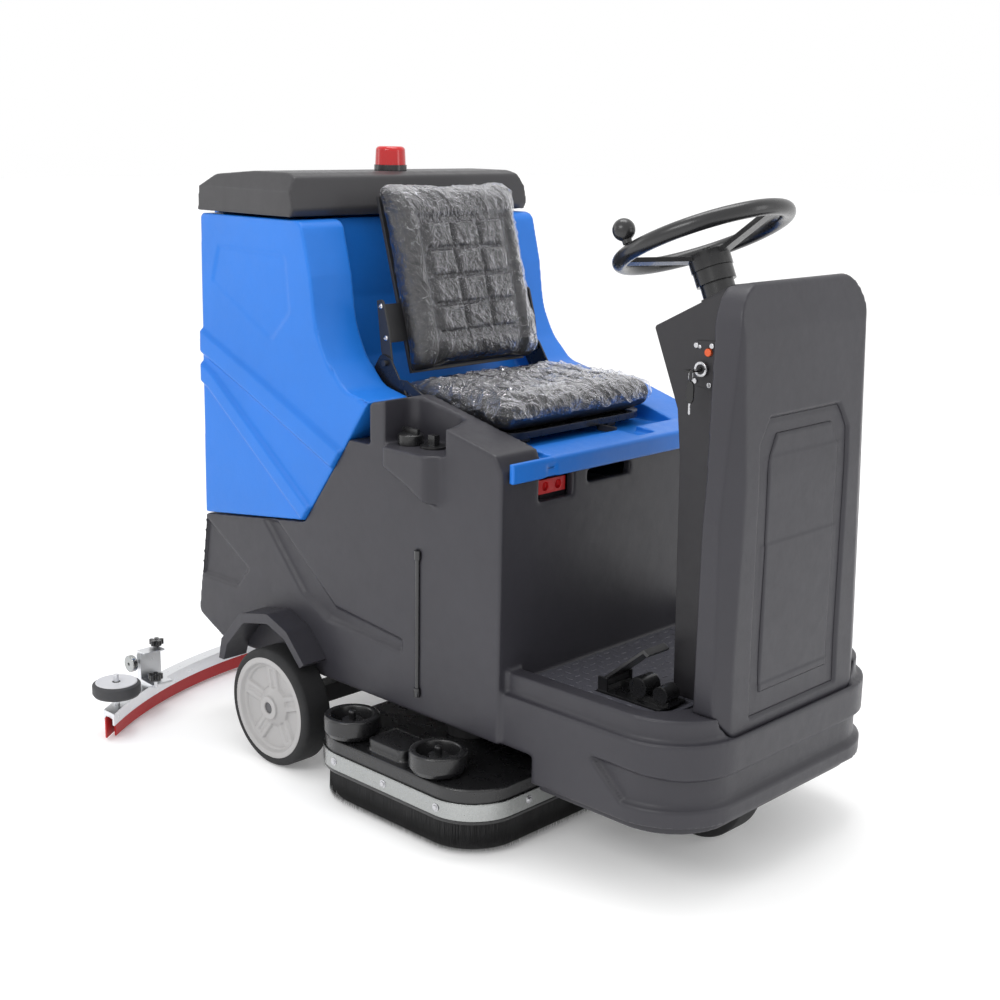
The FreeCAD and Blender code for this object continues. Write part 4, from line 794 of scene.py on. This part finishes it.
def rounded_loop(low, high, radius, spacing):
    """Evenly spaced places round a box with round corners, with the way out at each."""
    places = []
    centres = [(high[0] - radius, high[1] - radius, 0), (low[0] + radius, high[1] - radius, 1),
               (low[0] + radius, low[1] + radius, 2), (high[0] - radius, low[1] + radius, 3)]
    for index, (x, y, quarter) in enumerate(centres):
        steps = max(2, int(radius * math.pi / 2 / spacing))
        for step in range(steps):
            angle = (quarter + step / steps) * math.pi / 2
            out = Vector((math.cos(angle), math.sin(angle), 0))
            places.append((Vector((x, y, 0)) + out * radius, out))
        out = Vector((math.cos((quarter + 1) * math.pi / 2), math.sin((quarter + 1) * math.pi / 2), 0))
        start = Vector((x, y, 0)) + out * radius
        after = centres[(index + 1) % 4]
        end = Vector((after[0], after[1], 0)) + out * radius
        steps = max(2, int((end - start).length / spacing))
        for step in range(steps):
            places.append((start.lerp(end, step / steps), out))
    return places


def skirt():
    """The deck's brush skirt: rows of bristles, the outer ones splayed."""
    low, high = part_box("bristle_skirt")
    radius = 120 * MM
    work = bmesh.new()
    for depth in (1.5, 4.0, 7.0, 10.5):
        inner = (low[0] + depth * MM, low[1] + depth * MM)
        outer = (high[0] - depth * MM, high[1] - depth * MM)
        for place, out in rounded_loop(inner, outer, radius - depth * MM, 1.5 * MM):
            jitter = Vector((chance.uniform(-1, 1), chance.uniform(-1, 1), 0)) * 0.8 * MM
            foot = place + jitter - out * 1.5 * MM + Vector((0, 0, high[2]))
            lean = out * chance.uniform(0.0, 1.4) * MM + Vector((-out.y, out.x, 0)) * chance.uniform(-1.6, 1.6) * MM
            tip = place + lean + Vector((0, 0, low[2] + chance.uniform(0.3, 2.2) * MM))
            strand(work, foot, tip, 1.05 * MM)
    piece = from_bmesh("skirt_bristles", work, "bristle", "scrub_deck", smooth=False)
    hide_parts("bristle_skirt")
    core = [(-3, low[2] / MM + 5), (0, low[2] / MM + 5), (1, high[2] / MM), (-3, high[2] / MM)]
    strip_round("skirt_core", "bristle_skirt", 14, 106, core, "bristle", "scrub_deck")


skirt()
deck_trim()


# ---------------------------------------------------------------- camera, light and floor

def camera():
    azimuth, pitch, roll = (math.radians(angle) for angle in (43.8, 13.7, 1.0))
    back = Vector((math.sin(azimuth) * math.cos(pitch), -math.cos(azimuth) * math.cos(pitch), math.sin(pitch)))
    level = Vector((math.cos(azimuth), math.sin(azimuth), 0))
    upright = back.cross(level)
    right = level * math.cos(roll) + upright * math.sin(roll)
    up = upright * math.cos(roll) - level * math.sin(roll)
    data = bpy.data.cameras.new("camera")
    data.lens = 55.4
    data.sensor_width = 36
    seen = bpy.data.objects.new("camera", data)
    bpy.context.scene.collection.objects.link(seen)
    turn = Matrix((right, up, back)).transposed().to_4x4()
    seen.matrix_world = Matrix.Translation((2.2746, -2.3350, 1.3621)) @ turn
    bpy.context.scene.camera = seen


def soft_light(name, place, target, size, power):
    data = bpy.data.lights.new(name, "AREA")
    data.shape = "RECTANGLE"
    data.size, data.size_y = size
    data.energy = power
    lamp = bpy.data.objects.new(name, data)
    lamp.location = place
    lamp.rotation_euler = (Vector(target) - Vector(place)).to_track_quat("-Z", "Y").to_euler()
    bpy.context.scene.collection.objects.link(lamp)


def studio():
    world = bpy.data.worlds.new("studio")
    world.use_nodes = True
    world.node_tree.nodes["Background"].inputs["Color"].default_value = (1, 1, 1, 1)
    world.node_tree.nodes["Background"].inputs["Strength"].default_value = 1.0
    bpy.context.scene.world = world
    bpy.context.scene.view_settings.view_transform = "Standard"
    soft_light("key", (0.6, -3.4, 3.0), (0, 0, 0.5), (2.0, 1.2), 42)
    soft_light("side", (-3.4, -2.2, 1.8), (-0.2, 0, 0.7), (1.2, 2.2), 12)
    soft_light("top", (-0.2, 0.4, 4.2), (0, 0, 0.5), (2.4, 1.6), 52)
    soft_light("front", (3.8, 1.6, 1.6), (0.5, 0, 0.6), (1.0, 2.2), 14)
    material = bpy.data.materials.new("pale_floor")
    material.use_nodes = True
    shader = material.node_tree.nodes["Principled BSDF"]
    shader.inputs["Base Color"].default_value = (0.93, 0.93, 0.93, 1)
    shader.inputs["Roughness"].default_value = 0.6
    shader.inputs["Emission Color"].default_value = (1, 1, 1, 1)
    shader.inputs["Emission Strength"].default_value = 0.16
    work = bmesh.new()
    bmesh.ops.create_grid(work, x_segments=2, y_segments=2, size=30)
    mesh = bpy.data.meshes.new("floor")
    work.to_mesh(mesh)
    work.free()
    mesh.materials.append(material)
    floor = bpy.data.objects.new("floor", mesh)
    bpy.context.scene.collection.objects.link(floor)


camera()
studio()
